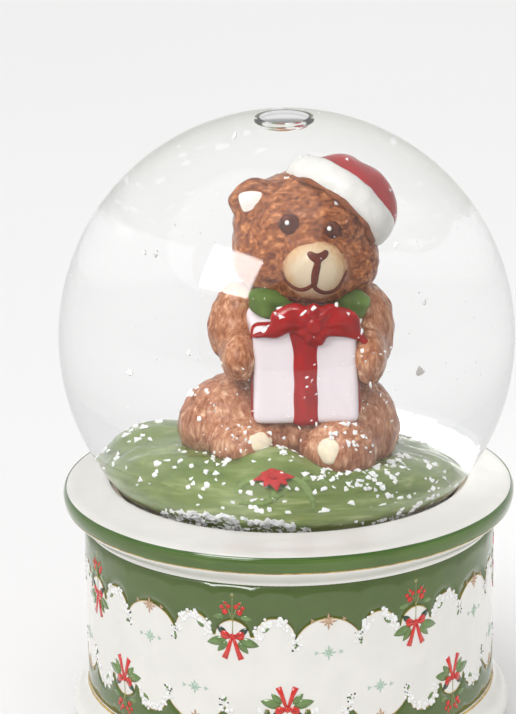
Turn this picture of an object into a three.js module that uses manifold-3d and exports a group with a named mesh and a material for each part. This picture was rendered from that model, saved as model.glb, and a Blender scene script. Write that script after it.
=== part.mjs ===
// A snow globe: a water-filled glass ball on a glazed ceramic stand, with a teddy bear
// in a Santa hat sitting on a green mound and holding a present.
// Units are millimetres, +Z is up, and the bear faces -Y. The origin is the middle of
// the underside, on the surface that the globe stands on.
import * as THREE from 'three';
import { mergeVertices } from 'three/addons/utils/BufferGeometryUtils.js';
import { RoundedBoxGeometry } from 'three/addons/geometries/RoundedBoxGeometry.js';
import Module from 'manifold-3d';

const wasm = await Module();
wasm.setup();

// ---- driving dimensions -------------------------------------------------------------

const GAP = 0.3; // clearance that neighbouring pieces keep
const SLIVER = 0.05; // detail smaller than this is left out

const TOTAL_HEIGHT = 90;
const GLOBE_RADIUS = 32.5;
const GLASS = 1.5; // wall thickness of the ball and its neck
const GLOBE_Z = TOTAL_HEIGHT - GLOBE_RADIUS;
const BORE_OF_BALL = GLOBE_RADIUS - GLASS;
const NECK_RADIUS = 24.4; // outside of the glass neck
const NECK_END_Z = 30.6;

const RIM_RADIUS = 32.5; // widest part of the stand's top flange
const DRUM_RADIUS = 29.6;
const STAND_WALL = 3.6;
const FELT_THICKNESS = 0.9;
const STAND_FOOT_Z = FELT_THICKNESS + GAP;
const DRUM_LOW_Z = 6.4;
const DRUM_HIGH_Z = 31.1;
const RIM_TOP_Z = 36; // outer edge of the flange's upper face
const LIP_Z = 37.4; // where the upper face meets the ball
const SEAT_RADIUS = 26; // recess that the glass neck stands in
const SEAT_Z = 27.5;
const WEB_HOLE_RADIUS = 20; // hole in the floor of that recess
const WEB_THICKNESS = 3;
const COVER_RADIUS = 27.1;
const COVER_THICKNESS = 1.6;

const PLUG_TOP_Z = 38;
const PLUG_RADIUS = NECK_RADIUS - GLASS - GAP;
const PLUG_FLANGE = 2.5; // thickness of the plug's rim, under the glass neck

const MOUND_RADIUS = 22.1; // at its foot, just less than the bore of the neck
const MOUND_TOP_Z = 45.9;
const MOUND_TILT = THREE.MathUtils.degToRad(3); // the left side is the higher one

const HAT_LEAN = THREE.MathUtils.degToRad(36); // how far the hat tips to the bear's left
const HAT_BACK = -0.9; // radians that its front edge is lifted, which clears both eyes
const GIFT = new THREE.Vector3(11.8, 5.4, 11.2); // width, depth and height of the present
const GIFT_LEAN = THREE.MathUtils.degToRad(-5);
const RIBBON_WIDTH = 2.9;
const RIBBON_THICKNESS = 0.45;

const BUBBLE_RADIUS = 4.3; // air bubble under the top of the ball
const BUBBLE_DEPTH = 3.1;
const SWIRL_RADIUS = 18.6; // the still water around the bear ends here
const FLAKES = 12;

// ---- colours ------------------------------------------------------------------------

const GLAZE_WHITE = 0xeeece8;
const FUR = 0xb2704e;
const MOSS = 0x667d42;
const HAT_RED = 0xa02828;
const TRIM_WHITE = 0xe8e8e4;
const SCARF_GREEN = 0x5f8c41;
const PAPER_PINK = 0xece0e8;
const RIBBON_RED = 0xb92323;
const SNOW = 0xf4f4f2;
const RUBBER_GREY = 0x9a9a96;
const SEALANT = 0xd8d8d2;
const PLASTER = 0xdcd8cc;
const COVER_WHITE = 0xd6d4ce;
const FELT_GREEN = 0x3f5a35;
const WATER = 0xe6eef0;

// ---- making solids ------------------------------------------------------------------

// A closed three.js geometry as a solid that can be joined and cut.
function solid(geometry) {
  const bare = geometry.clone();
  bare.deleteAttribute('normal');
  bare.deleteAttribute('uv');
  const merged = mergeVertices(bare, 1e-4);
  const index = merged.index.array;
  const triangles = [];
  for (let i = 0; i < index.length; i += 3) {
    const [a, b, c] = [index[i], index[i + 1], index[i + 2]];
    if (a !== b && b !== c && c !== a) triangles.push(a, b, c);
  }
  const place = merged.attributes.position.array;
  if (signedVolume(place, triangles) < 0) triangles.reverse();
  return new wasm.Manifold(new wasm.Mesh({
    numProp: 3,
    vertProperties: new Float32Array(place),
    triVerts: new Uint32Array(triangles),
  }));
}

function signedVolume(place, triangles) {
  const corner = (i) => new THREE.Vector3().fromArray(place, 3 * i);
  let sum = 0;
  for (let i = 0; i < triangles.length; i += 3) {
    const [a, b, c] = [0, 1, 2].map((k) => corner(triangles[i + k]));
    sum += a.dot(b.cross(c)) / 6;
  }
  return sum;
}

function joined(solids) {
  return solids.reduce((sum, next) => sum.add(next));
}

function cut(body, tools) {
  return tools.reduce((rest, tool) => rest.subtract(tool), body);
}

// The largest piece of a solid that a cut may have parted.
function largest(body) {
  const pieces = body.decompose();
  return pieces.reduce((best, next) => (next.volume() > best.volume() ? next : best));
}

// A named mesh of a solid, in its own material, without the slivers that cuts leave.
function node(name, body, colour, look = {}) {
  const mesh = largest(body.simplify(SLIVER)).getMesh();
  const geometry = new THREE.BufferGeometry();
  geometry.setAttribute('position', new THREE.BufferAttribute(mesh.vertProperties, 3));
  geometry.setIndex(new THREE.BufferAttribute(mesh.triVerts, 1));
  geometry.computeVertexNormals();
  const material = new THREE.MeshStandardMaterial({ color: colour, roughness: 0.3, metalness: 0, ...look });
  const piece = new THREE.Mesh(geometry, material);
  piece.name = name;
  return piece;
}

// A body of revolution about Z. Each point is [radius, z]. The outline starts and ends
// on the axis, or closes on itself.
function turned(outline, sides = 40) {
  const points = outline.map(([r, z]) => new THREE.Vector2(r, z));
  return solid(new THREE.LatheGeometry(points, sides).rotateX(Math.PI / 2));
}

// Points on an arc of a circle in the outline's plane, from one angle to another.
function arc(r, z, radius, from, to, steps) {
  return Array.from({ length: steps + 1 }, (_, i) => {
    const angle = THREE.MathUtils.degToRad(from + (to - from) * (i / steps));
    return [Math.max(0, r + radius * Math.cos(angle)), z + radius * Math.sin(angle)];
  });
}

// An ellipsoid, turned about its middle. `grow` makes it that much larger all over.
function ball({ at, radii, turn = [0, 0, 0] }, grow = 0, sides = 12) {
  const size = radii.map((r) => r + grow);
  const geometry = new THREE.SphereGeometry(1, sides, Math.round(0.7 * sides));
  geometry.rotateX(Math.PI / 2);
  const pose = new THREE.Matrix4().compose(
    new THREE.Vector3(...at),
    new THREE.Quaternion().setFromEuler(new THREE.Euler(...turn)),
    new THREE.Vector3(...size),
  );
  return solid(geometry.applyMatrix4(pose));
}

function balls(list, grow = 0, sides = 12) {
  return joined(list.map((each) => ball(each, grow, sides)));
}

function angleOfBall(radius, z) {
  return THREE.MathUtils.radToDeg(Math.asin((z - GLOBE_Z) / radius));
}

// ---- the ceramic stand and what is inside it ----------------------------------------

// A spool: foot, straight drum and a flange whose upper face slopes up to the glass.
// It is hollow below a web, and the web's hole lets the potting grip.
function ceramicStand() {
  const inside = DRUM_RADIUS - STAND_WALL;
  const coverRecess = COVER_RADIUS + GAP;
  const coverTop = STAND_FOOT_Z + COVER_THICKNESS + GAP;
  const foot = [
    [coverRecess, STAND_FOOT_Z],
    [30.4, STAND_FOOT_Z],
    ...arc(30.5, STAND_FOOT_Z + 1.6, 1.6, -70, 40, 4),
    [31.2, 4.7],
    [30.2, 5.4],
    [29.75, DRUM_LOW_Z - 0.4],
  ];
  const drum = [
    [DRUM_RADIUS, DRUM_LOW_Z],
    [DRUM_RADIUS, DRUM_HIGH_Z],
    [29.9, DRUM_HIGH_Z + 0.4],
    [30.7, 32.1],
    [31.9, 33.2],
  ];
  const rim = [
    [32.3, 33.9],
    [RIM_RADIUS, 34.8],
    [32.4, 35.5],
    [32.0, RIM_TOP_Z],
    [31.2, 36.25],
    [29.4, 36.45],
    [27.8, 36.9],
  ];
  const seat = [
    [26.9, LIP_Z],
    [26.3, LIP_Z - 0.05],
    [SEAT_RADIUS, LIP_Z - 0.4],
    [SEAT_RADIUS, SEAT_Z],
    [WEB_HOLE_RADIUS, SEAT_Z],
    [WEB_HOLE_RADIUS, SEAT_Z - WEB_THICKNESS],
  ];
  const hollow = [
    [inside - 1, SEAT_Z - WEB_THICKNESS],
    [inside, SEAT_Z - WEB_THICKNESS - 1],
    [inside, coverTop],
    [coverRecess, coverTop],
    [coverRecess, STAND_FOOT_Z],
  ];
  return turned([...foot, ...drum, ...rim, ...seat, ...hollow], 44);
}

function feltPad() {
  return turned([[0, 0], [29.2, 0], [29.2, FELT_THICKNESS], [0, FELT_THICKNESS]], 48);
}

function bottomCover() {
  const top = STAND_FOOT_Z + COVER_THICKNESS;
  return turned([[0, STAND_FOOT_Z], [COVER_RADIUS, STAND_FOOT_Z], [COVER_RADIUS, top], [0, top]], 48);
}

// Plaster poured in from below: it fills the web's hole and spreads under it.
function pottingFill() {
  const stem = WEB_HOLE_RADIUS - GAP;
  const underWeb = SEAT_Z - WEB_THICKNESS - GAP;
  return turned([
    [0, underWeb - 2.4],
    [21.8, underWeb - 2],
    [22.8, underWeb - 1.2],
    [22.8, underWeb],
    [stem, underWeb],
    [stem, SEAT_Z - 0.2],
    [0, SEAT_Z - 0.2],
  ], 40);
}

// The stopper that closes the neck: its body is inside the neck and its rim is below it.
function rubberPlug() {
  const rimTop = NECK_END_Z - GAP;
  const rimLow = rimTop - PLUG_FLANGE;
  return turned([
    [0, rimLow + 1.6],
    [11, rimLow + 1.6],
    [12, rimLow],
    [NECK_RADIUS - 0.3, rimLow],
    [NECK_RADIUS, rimLow + 0.3],
    [NECK_RADIUS, rimTop],
    [PLUG_RADIUS, rimTop],
    [PLUG_RADIUS, PLUG_TOP_Z - 2.6],
    [PLUG_RADIUS - 0.4, PLUG_TOP_Z - 0.6],
    [PLUG_RADIUS - 1, PLUG_TOP_Z],
    [0, PLUG_TOP_Z],
  ], 48);
}

// Clear sealant between the neck and the wall of its recess.
function sealantRing() {
  const low = SEAT_Z + GAP + 0.3;
  return turned([
    [24.75, low],
    [25.7, low],
    [25.7, 36.1],
    [24.95, 36.3],
    [24.75, 35.4],
    [24.75, low],
  ], 48);
}

// ---- the glass ball and what floats in it -------------------------------------------

function glassGlobe() {
  const inner = NECK_RADIUS - GLASS;
  const outerStart = -Math.sqrt(GLOBE_RADIUS ** 2 - NECK_RADIUS ** 2) + GLOBE_Z;
  const innerStart = -Math.sqrt(BORE_OF_BALL ** 2 - inner ** 2) + GLOBE_Z;
  return turned([
    ...arc(0, GLOBE_Z, BORE_OF_BALL, 90, angleOfBall(BORE_OF_BALL, innerStart), 10),
    [inner, NECK_END_Z + 0.4],
    [inner + 0.4, NECK_END_Z],
    [NECK_RADIUS - 0.4, NECK_END_Z],
    [NECK_RADIUS, NECK_END_Z + 0.4],
    ...arc(0, GLOBE_Z, GLOBE_RADIUS, angleOfBall(GLOBE_RADIUS, outerStart), 90, 12),
  ], 36);
}

// The part of the water that can turn round the bear: a thick shell of revolution, with
// a hollow for the air bubble under the top of the ball.
function liquidFill() {
  const outer = BORE_OF_BALL - GAP;
  const low = 41.4;
  const bubbleEdge = GLOBE_Z + Math.sqrt(outer ** 2 - BUBBLE_RADIUS ** 2);
  const bubbleLow = GLOBE_Z + outer - BUBBLE_DEPTH;
  return turned([
    [0, bubbleLow],
    [2.2, bubbleLow + 0.15],
    [3.6, bubbleLow + 0.8],
    [BUBBLE_RADIUS, bubbleLow + 1.7],
    ...arc(0, GLOBE_Z, outer, angleOfBall(outer, bubbleEdge), angleOfBall(outer, low), 9),
    [22.7, low],
    [21.4, 44],
    [20.8, 48.2],
    [SWIRL_RADIUS, 50.5],
    [SWIRL_RADIUS, 72],
    [16.4, 76.4],
    [11, 79.9],
    [0, 80.8],
  ], 32);
}

// A flat chip of snow hanging in the water, on a spiral that stays clear of the bear.
function flake(i) {
  const golden = Math.PI * (3 - Math.sqrt(5));
  const angle = 0.6 + golden * i;
  const radius = 15.9 + 0.9 * Math.sin(2.3 * i);
  const size = 0.75 + 0.18 * Math.sin(1.7 * i + 1);
  const pose = new THREE.Matrix4().compose(
    new THREE.Vector3(radius * Math.cos(angle), radius * Math.sin(angle), 51 + (22 * i) / (FLAKES - 1)),
    new THREE.Quaternion().setFromEuler(new THREE.Euler(0.9 * i, 1.3 * i, 0.4 * i)),
    new THREE.Vector3(size, 0.8 * size, 0.35 * size),
  );
  return solid(new THREE.IcosahedronGeometry(1, 0).applyMatrix4(pose));
}

// Snow that has settled in the groove between the mound and the glass.
function snowDrift(from, to, height, mound) {
  const steps = Math.max(2, Math.round((to - from) / 17));
  const heaps = Array.from({ length: steps + 1 }, (_, i) => {
    const share = i / steps;
    const angle = THREE.MathUtils.degToRad(from + (to - from) * share);
    const radius = 22.6;
    const swell = 0.7 + 0.3 * Math.sin(Math.PI * share) + 0.12 * Math.sin(9 * share);
    return {
      at: [radius * Math.cos(angle), radius * Math.sin(angle), PLUG_TOP_Z + 1.2],
      radii: [2.7, 4.6, height * swell],
      turn: [0, 0, angle],
    };
  });
  const room = ball({ at: [0, 0, GLOBE_Z], radii: [1, 1, 1].map(() => BORE_OF_BALL - GAP) }, 0, 30);
  const above = slab(PLUG_TOP_Z + GAP, PLUG_TOP_Z + 9, 30);
  return balls(heaps, 0, 8).intersect(room).intersect(above).subtract(mound);
}

// A round slab between two heights, to trim other solids with.
function slab(low, high, radius) {
  return turned([[0, low], [radius, low], [radius, high], [0, high]], 40);
}

// ---- the figure ---------------------------------------------------------------------

// A low cushion of ground with a higher shoulder behind its left side.
function mound(grow = 0) {
  const r = MOUND_RADIUS + grow;
  const top = MOUND_TOP_Z + grow;
  const low = PLUG_TOP_Z + GAP;
  const cushion = turned([
    [0, low - 3],
    [r, low - 3],
    [r, low + 0.6],
    [r - 0.9, low + 1.4],
    [r - 2.2, low + 2.8],
    [r - 3.3, low + 4.2],
    [r - 4.7, top - 2],
    [r - 6.8, top - 0.9],
    [r - 9.8, top - 0.3],
    [r - 13, top],
    [0, top],
  ], 36);
  const tilted = cushion.rotate([0, THREE.MathUtils.radToDeg(MOUND_TILT), 0]);
  const shift = MOUND_TOP_Z * Math.sin(MOUND_TILT);
  const shoulder = ball({ at: [-12, 5.5, 42.4], radii: [6.4, 8.2, 4.7] }, grow);
  return tilted.translate([-shift, 0, 0]).add(shoulder).intersect(slab(low - grow, top + 9, 30));
}

const HEAD = [
  { at: [1.9, -0.4, 69.9], radii: [8.0, 6.9, 6.9] },
  { at: [3.3, -6.2, 67.9], radii: [4.0, 3.7, 3.6] },
  { at: [4.6, -1.4, 72.2], radii: [5.5, 5.0, 4.2] },
  { at: [-3.6, -0.6, 73.9], radii: [2.8, 1.5, 2.6], turn: [0, -0.2, 0] },
];

const LIMBS = [
  { at: [1.7, 1.0, 55.5], radii: [7.4, 5.8, 9.6] },
  { at: [-5.6, -2.1, 60.0], radii: [2.9, 3.2, 4.5], turn: [0, 0.15, 0] },
  { at: [-4.8, -5.4, 57.4], radii: [2.4, 3.3, 2.7] },
  { at: [9.0, -2.0, 59.4], radii: [2.7, 3.2, 4.8], turn: [0, -0.1, 0] },
  { at: [8.2, -5.4, 57.5], radii: [2.3, 3.3, 3.2] },
  { at: [-7.2, -2.4, 49.8], radii: [4.4, 5.4, 4.9] },
  { at: [-4.9, -8.4, 47.4], radii: [4.0, 3.9, 2.9], turn: [0, 0, 0.3] },
  { at: [7.9, -2.6, 48.9], radii: [3.9, 5.4, 5.3] },
  { at: [5.8, -9.2, 46.5], radii: [4.2, 4.0, 3.9] },
  { at: [0.6, -4.4, 48.3], radii: [5.6, 4.8, 3.4] },
];

// The hat's own frame: its rim lies in the plane of x and y, and it opens downwards.
const HAT_POSE = new THREE.Matrix4().compose(
  new THREE.Vector3(6.1, 0, 73.4),
  new THREE.Quaternion().setFromEuler(new THREE.Euler(HAT_BACK, HAT_LEAN, 0)),
  new THREE.Vector3(1, 1, 1),
);

function onHat(geometry) {
  return solid(geometry.applyMatrix4(HAT_POSE));
}

function hatTrim(grow = 0) {
  const ring = new THREE.TorusGeometry(5.55, 1.5 + grow, 8, 24);
  return onHat(ring.scale(1, 0.9, 1.25));
}

function hatCrown(grow = 0) {
  const dome = new THREE.SphereGeometry(1, 16, 11);
  dome.rotateX(Math.PI / 2);
  dome.scale(6.2 + grow, 5.9 + grow, 5.0 + grow);
  dome.translate(0.5, 0.1, 0.7);
  const tip = new THREE.SphereGeometry(1, 10, 7);
  tip.scale(2.3 + grow, 2.6 + grow, 2.6 + grow);
  tip.translate(2.5, 4.6, 1.5);
  return onHat(dome).add(onHat(tip));
}

function hatPompom(grow = 0) {
  return ball({ at: [8.4, 6.7, 69.0], radii: [1.9, 1.9, 1.9] }, grow, 14);
}

function placeGift(geometry) {
  geometry.rotateX(GIFT_LEAN);
  geometry.translate(2.0, -6.9, 55.5);
  return solid(geometry);
}

function giftBox(grow = 0) {
  const [x, y, z] = GIFT.toArray().map((side) => side + 2 * grow);
  return placeGift(new RoundedBoxGeometry(x, y, z, 2, 0.7));
}

// Two flat bands that cross on top of the present.
function giftRibbon(grow = 0) {
  const over = 2 * (GAP + RIBBON_THICKNESS + grow);
  const [x, y, z] = GIFT.toArray().map((side) => side + over);
  const wide = RIBBON_WIDTH + 2 * grow;
  const lengthways = placeGift(new RoundedBoxGeometry(wide, y, z, 1, 0.3));
  const crossways = placeGift(new RoundedBoxGeometry(x, 0.6 * wide, z, 1, 0.3));
  return lengthways.add(crossways);
}

const BOW = [
  { at: [3.1, -9.4, 61.5], radii: [1.6, 1.3, 2.2] },
  { at: [0.8, -9.0, 61.8], radii: [2.7, 1.3, 1.8], turn: [0, 0.1, 0] },
  { at: [5.6, -8.9, 61.5], radii: [2.6, 1.3, 1.9], turn: [0, 0.2, 0] },
  { at: [-2.1, -9.4, 61.1], radii: [2.3, 0.9, 0.8], turn: [0, -0.35, 0] },
  { at: [7.7, -9.0, 60.3], radii: [2.2, 0.9, 0.8], turn: [0, 0.75, 0] },
];

function scarf(grow = 0) {
  const collar = new THREE.TorusGeometry(5.3, 1.4 + grow, 8, 22);
  collar.scale(1, 0.98, 0.9);
  collar.rotateX(0.2);
  collar.translate(2.5, -0.7, 63.3);
  const lapels = [
    { at: [-1.7, -5.6, 62.9], radii: [2.5, 1.5, 1.7], turn: [0, 0.4, 0] },
    { at: [6.6, -5.2, 62.8], radii: [2.3, 1.5, 1.8], turn: [0, -0.5, 0] },
  ];
  return solid(collar).add(balls(lapels, grow, 10));
}

// A flat eight-pointed flower lying on the front of the mound.
function poinsettia() {
  const points = 16;
  const outline = Array.from({ length: points }, (_, i) => {
    const angle = (2 * Math.PI * i) / points;
    const reach = i % 2 ? 1.1 : 2.3;
    return new THREE.Vector2(reach * Math.cos(angle), reach * Math.sin(angle));
  });
  const flat = new THREE.ExtrudeGeometry(new THREE.Shape(outline), { depth: 0.5, bevelEnabled: false });
  flat.rotateX(0.66);
  flat.translate(-1.9, -16.4, 44.8);
  return solid(flat);
}

// ---- putting it together ------------------------------------------------------------

function figure() {
  const head = balls(HEAD);
  const nearHead = balls(HEAD, GAP);
  const trim = cut(hatTrim(), [nearHead]);
  const crown = cut(hatCrown(), [nearHead, hatTrim(GAP), hatPompom(GAP)]);
  const pompom = cut(hatPompom(), [nearHead, hatTrim(GAP)]);
  const box = giftBox();
  const nearBox = giftBox(GAP);
  const ribbon = cut(giftRibbon(), [nearBox]);
  const nearRibbon = giftRibbon(GAP);
  const bow = cut(balls(BOW, 0, 9), [nearBox, nearRibbon, nearHead]);
  const nearBow = balls(BOW, GAP, 9);
  const collar = cut(scarf(), [nearHead, nearBox, nearRibbon, nearBow]);
  const near = [nearHead, nearBox, nearRibbon, nearBow, scarf(GAP), hatPompom(GAP)];
  const body = cut(balls(LIMBS), near);
  const ground = cut(mound(), [balls(LIMBS, GAP)]);
  const star = cut(poinsettia(), [mound(GAP)]);
  const group = new THREE.Group();
  group.add(
    node('mound', ground, MOSS),
    node('poinsettia', star, RIBBON_RED),
    node('bear_body', body, FUR),
    node('bear_head', head, FUR),
    node('hat_crown', crown, HAT_RED),
    node('hat_trim', trim, TRIM_WHITE),
    node('hat_pompom', pompom, TRIM_WHITE),
    node('neck_scarf', collar, SCARF_GREEN),
    node('gift_box', box, PAPER_PINK),
    node('gift_ribbon', ribbon, RIBBON_RED),
    node('gift_bow', bow, RIBBON_RED),
  );
  return group;
}

function stand() {
  const group = new THREE.Group();
  group.add(
    node('ceramic_stand', ceramicStand(), GLAZE_WHITE, { roughness: 0.12 }),
    node('potting_fill', pottingFill(), PLASTER, { roughness: 0.8 }),
    node('bottom_cover', bottomCover(), COVER_WHITE, { roughness: 0.6 }),
    node('felt_pad', feltPad(), FELT_GREEN, { roughness: 1 }),
  );
  return group;
}

function globe() {
  const group = new THREE.Group();
  const clear = { roughness: 0.02, transparent: true, opacity: 0.25 };
  group.add(
    node('glass_globe', glassGlobe(), 0xffffff, clear),
    node('rubber_plug', rubberPlug(), RUBBER_GREY, { roughness: 0.8 }),
    node('sealant_ring', sealantRing(), SEALANT, { roughness: 0.5 }),
  );
  return group;
}

function settledSnow() {
  const nearMound = mound(GAP + SLIVER);
  const group = new THREE.Group();
  group.add(
    node('snow_drift_front', snowDrift(226, 270, 2.2, nearMound), SNOW, { roughness: 0.8 }),
    node('snow_drift_right', snowDrift(302, 346, 2.2, nearMound), SNOW, { roughness: 0.8 }),
    node('snow_drift_back', snowDrift(95, 170, 1.9, nearMound), SNOW, { roughness: 0.8 }),
  );
  return group;
}

function swirl() {
  const group = new THREE.Group();
  group.add(node('liquid_fill', liquidFill(), WATER, { roughness: 0.02, transparent: true, opacity: 0.2 }));
  for (let i = 0; i < FLAKES; i += 1) {
    group.add(node(`snow_flake_${String(i + 1).padStart(2, '0')}`, flake(i), SNOW, { roughness: 0.8 }));
  }
  return group;
}

const snowGlobe = new THREE.Group();
snowGlobe.add(stand(), globe(), figure(), settledSnow(), swirl());

export default snowGlobe;
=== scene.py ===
"""Looks for the snow globe: a glazed, printed stand, a water-filled glass ball and a teddy bear on a mound.

Shapes are worked out in millimetres, in the frame's axes, and become metres when a mesh is made.
The bear faces -Y, +Z is up, and angles round the drum run from the front towards +X.
"""

import math

import bmesh
import bpy
import numpy as np
from mathutils import Matrix, Vector
from mathutils.bvhtree import BVHTree


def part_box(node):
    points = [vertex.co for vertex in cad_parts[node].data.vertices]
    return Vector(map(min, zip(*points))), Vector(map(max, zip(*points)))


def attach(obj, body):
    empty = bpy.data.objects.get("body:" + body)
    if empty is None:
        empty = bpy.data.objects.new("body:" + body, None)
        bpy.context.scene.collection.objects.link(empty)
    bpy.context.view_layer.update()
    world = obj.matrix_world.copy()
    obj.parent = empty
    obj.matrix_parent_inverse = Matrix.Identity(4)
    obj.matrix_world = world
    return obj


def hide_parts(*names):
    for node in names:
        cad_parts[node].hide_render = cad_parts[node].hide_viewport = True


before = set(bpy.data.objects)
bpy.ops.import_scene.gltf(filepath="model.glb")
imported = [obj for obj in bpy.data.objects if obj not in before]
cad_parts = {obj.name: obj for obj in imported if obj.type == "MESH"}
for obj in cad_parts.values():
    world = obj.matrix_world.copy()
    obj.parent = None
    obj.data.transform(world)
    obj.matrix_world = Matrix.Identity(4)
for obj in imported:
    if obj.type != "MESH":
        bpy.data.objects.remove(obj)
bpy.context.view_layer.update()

MM = 0.001
SEED = 20

# ---- places taken from the frame ------------------------------------------------------

ball_low, ball_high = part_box("glass_globe")
BALL_R = (ball_high.x - ball_low.x) / 2 / MM
BALL_Z = ball_high.z / MM - BALL_R
NECK_END_Z = ball_low.z / MM
stand_low, stand_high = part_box("ceramic_stand")
FOOT_Z = stand_low.z / MM
LIP_Z = stand_high.z / MM
RIM_R = stand_high.x / MM
PLUG_TOP_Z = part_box("rubber_plug")[1].z / MM
felt_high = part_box("felt_pad")[1]
FELT_R = felt_high.x / MM
FELT_TOP_Z = felt_high.z / MM

GLASS_WALL = 1.5
NECK_R = 24.4
DRUM_R = 29.6
DRUM_LOW_Z = 6.4
DRUM_HIGH_Z = 31.1

# ---- materials ------------------------------------------------------------------------


def srgb(red, green, blue):
    """A colour given as 0 to 255 on a screen, as Blender's linear values."""
    shares = [c / 255 for c in (red, green, blue)]
    return tuple(c / 12.92 if c < 0.04045 else ((c + 0.055) / 1.055) ** 2.4 for c in shares)


class Nodes:
    """Adds nodes to one material and links them."""

    def __init__(self, name):
        self.material = bpy.data.materials.new(name)
        self.material.use_nodes = True
        self.tree = self.material.node_tree
        self.shader = self.tree.nodes["Principled BSDF"]
        self.output = self.tree.nodes["Material Output"]
        self.place = self.add("ShaderNodeTexCoord").outputs["Object"]

    def add(self, kind, **settings):
        made = self.tree.nodes.new(kind)
        for key, value in settings.items():
            setattr(made, key, value)
        return made

    def put(self, socket, value):
        if isinstance(value, bpy.types.NodeSocket):
            self.tree.links.new(value, socket)
        else:
            socket.default_value = value

    def finish_with(self, **values):
        """Sets the shader's own inputs. An underscore stands for a space in an input's name."""
        for key, value in values.items():
            self.put(self.shader.inputs[key.replace("_", " ")], value)

    def noise(self, size_mm, stretch=(1, 1, 1), detail=4.0, distortion=0.0):
        """Noise whose features are about size_mm, longer along the axes where stretch is above 1."""
        mapping = self.add("ShaderNodeMapping")
        mapping.inputs["Scale"].default_value = [1 / (size_mm * MM * s) for s in stretch]
        self.put(mapping.inputs["Vector"], self.place)
        noise = self.add("ShaderNodeTexNoise")
        self.put(noise.inputs["Vector"], mapping.outputs["Vector"])
        noise.inputs["Scale"].default_value = 1.0
        noise.inputs["Detail"].default_value = detail
        noise.inputs["Distortion"].default_value = distortion
        return noise.outputs["Fac"]

    def math(self, operation, a, b=0.0):
        made = self.add("ShaderNodeMath", operation=operation)
        self.put(made.inputs[0], a)
        self.put(made.inputs[1], b)
        return made.outputs[0]

    def span(self, value, low, high, to_low, to_high):
        made = self.add("ShaderNodeMapRange")
        for socket, number in zip(made.inputs, (value, low, high, to_low, to_high)):
            self.put(socket, number)
        return made.outputs["Result"]

    def ramp(self, value, stops):
        made = self.add("ShaderNodeValToRGB")
        ramp = made.color_ramp
        while len(ramp.elements) < len(stops):
            ramp.elements.new(0.5)
        for element, (where, colour) in zip(ramp.elements, stops):
            element.position = where
            element.color = (*colour, 1)
        self.put(made.inputs["Fac"], value)
        return made.outputs["Color"]

    def mix(self, share, a, b):
        made = self.add("ShaderNodeMix", data_type="RGBA")
        self.put(made.inputs["Factor"], share)
        self.put(made.inputs["A"], a)
        self.put(made.inputs["B"], b)
        return made.outputs["Result"]


def painted_look(name, stops, size=3.0, stretch=(1, 1, 1), strokes=None, detail=4.0, distortion=0.4,
                 rough=(0.1, 0.2), bump=0.02, bump_size=0.6, coat=0.0, sheen=0.0, subsurface=0.0,
                 speckle=None, specular=0.5):
    """A glazed, dyed or moulded finish: mottled colour, uneven gloss and a fine relief."""
    n = Nodes(name)
    tone = n.noise(size, stretch, detail, distortion)
    if strokes:
        stroke_size, stroke_stretch, share = strokes
        dabs = n.noise(stroke_size, stroke_stretch, 3.0, 0.8)
        tone = n.math("ADD", n.math("MULTIPLY", tone, 1 - share), n.math("MULTIPLY", dabs, share))
    colour = n.ramp(tone, stops)
    if speckle:
        speck_size, limit, speck_colour = speckle
        mask = n.span(n.noise(speck_size, detail=1.0), limit, limit + 0.03, 0.0, 1.0)
        colour = n.mix(mask, colour, (*speck_colour, 1))
    relief = n.add("ShaderNodeBump")
    relief.inputs["Strength"].default_value = 1.0
    relief.inputs["Distance"].default_value = bump * MM
    n.put(relief.inputs["Height"], n.noise(bump_size, detail=3.0))
    gloss = n.span(n.noise(2.2 * size), 0.3, 0.7, *rough)
    n.finish_with(Base_Color=colour, Roughness=gloss, Normal=relief.outputs["Normal"],
                  Specular_IOR_Level=specular, Coat_Weight=coat, Coat_Roughness=0.05, Sheen_Weight=sheen,
                  Subsurface_Weight=subsurface, Subsurface_Scale=0.6 * MM, Subsurface_Radius=(1, 1, 1))
    return n.material


def clear_look(name, ior, tint, rough, shine):
    """Clear glass or water that lets the lamps' light straight through."""
    n = Nodes(name)
    n.finish_with(Base_Color=(*tint, 1), Transmission_Weight=1.0, IOR=ior,
                  Specular_Tint=(shine, shine, shine, 1),
                  Roughness=n.span(n.noise(9.0), 0.35, 0.7, 0.0, rough))
    lamp_path = n.add("ShaderNodeLightPath")
    through = n.add("ShaderNodeBsdfTransparent")
    either = n.add("ShaderNodeMixShader")
    sources = (lamp_path.outputs["Is Shadow Ray"], n.shader.outputs["BSDF"], through.outputs["BSDF"])
    for socket, source in zip(either.inputs, sources):
        n.put(socket, source)
    n.put(n.output.inputs["Surface"], either.outputs["Shader"])
    return n.material


def glaze(name, colour, spread=0.10, **more):
    """Glossy glaze of one colour, a little darker and lighter from place to place."""
    dark = tuple(c * (1 - spread) for c in colour)
    light = tuple(min(1, c * (1 + spread)) for c in colour)
    settings = dict(size=5.0, rough=(0.07, 0.14), bump=0.012, bump_size=1.6, coat=0.3)
    settings.update(more)
    return painted_look(name, [(0.3, dark), (0.5, colour), (0.7, light)], **settings)


def muzzle_look():
    """Cream that turns brown towards the muzzle's rim, with soft upright brush marks."""
    n = Nodes("muzzle_glaze")
    middle = n.add("ShaderNodeVectorMath", operation="DISTANCE")
    n.put(middle.inputs[0], n.place)
    middle.inputs[1].default_value = [place * MM for place in MUZZLE_SHADE_AT]
    wobble = n.math("MULTIPLY", n.noise(0.5, (1, 1, 3.5), distortion=0.8), 2.0 * MM)
    reach = n.math("ADD", middle.outputs["Value"], wobble)
    colour = n.ramp(n.span(reach, 0.0, MUZZLE_SHADE_R * MM, 0.0, 1.0), MUZZLE_STOPS)
    n.finish_with(Base_Color=colour, Roughness=n.span(n.noise(2.0), 0.3, 0.7, 0.1, 0.22),
                  Specular_IOR_Level=UNDER_WATER["specular"])
    return n.material


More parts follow.
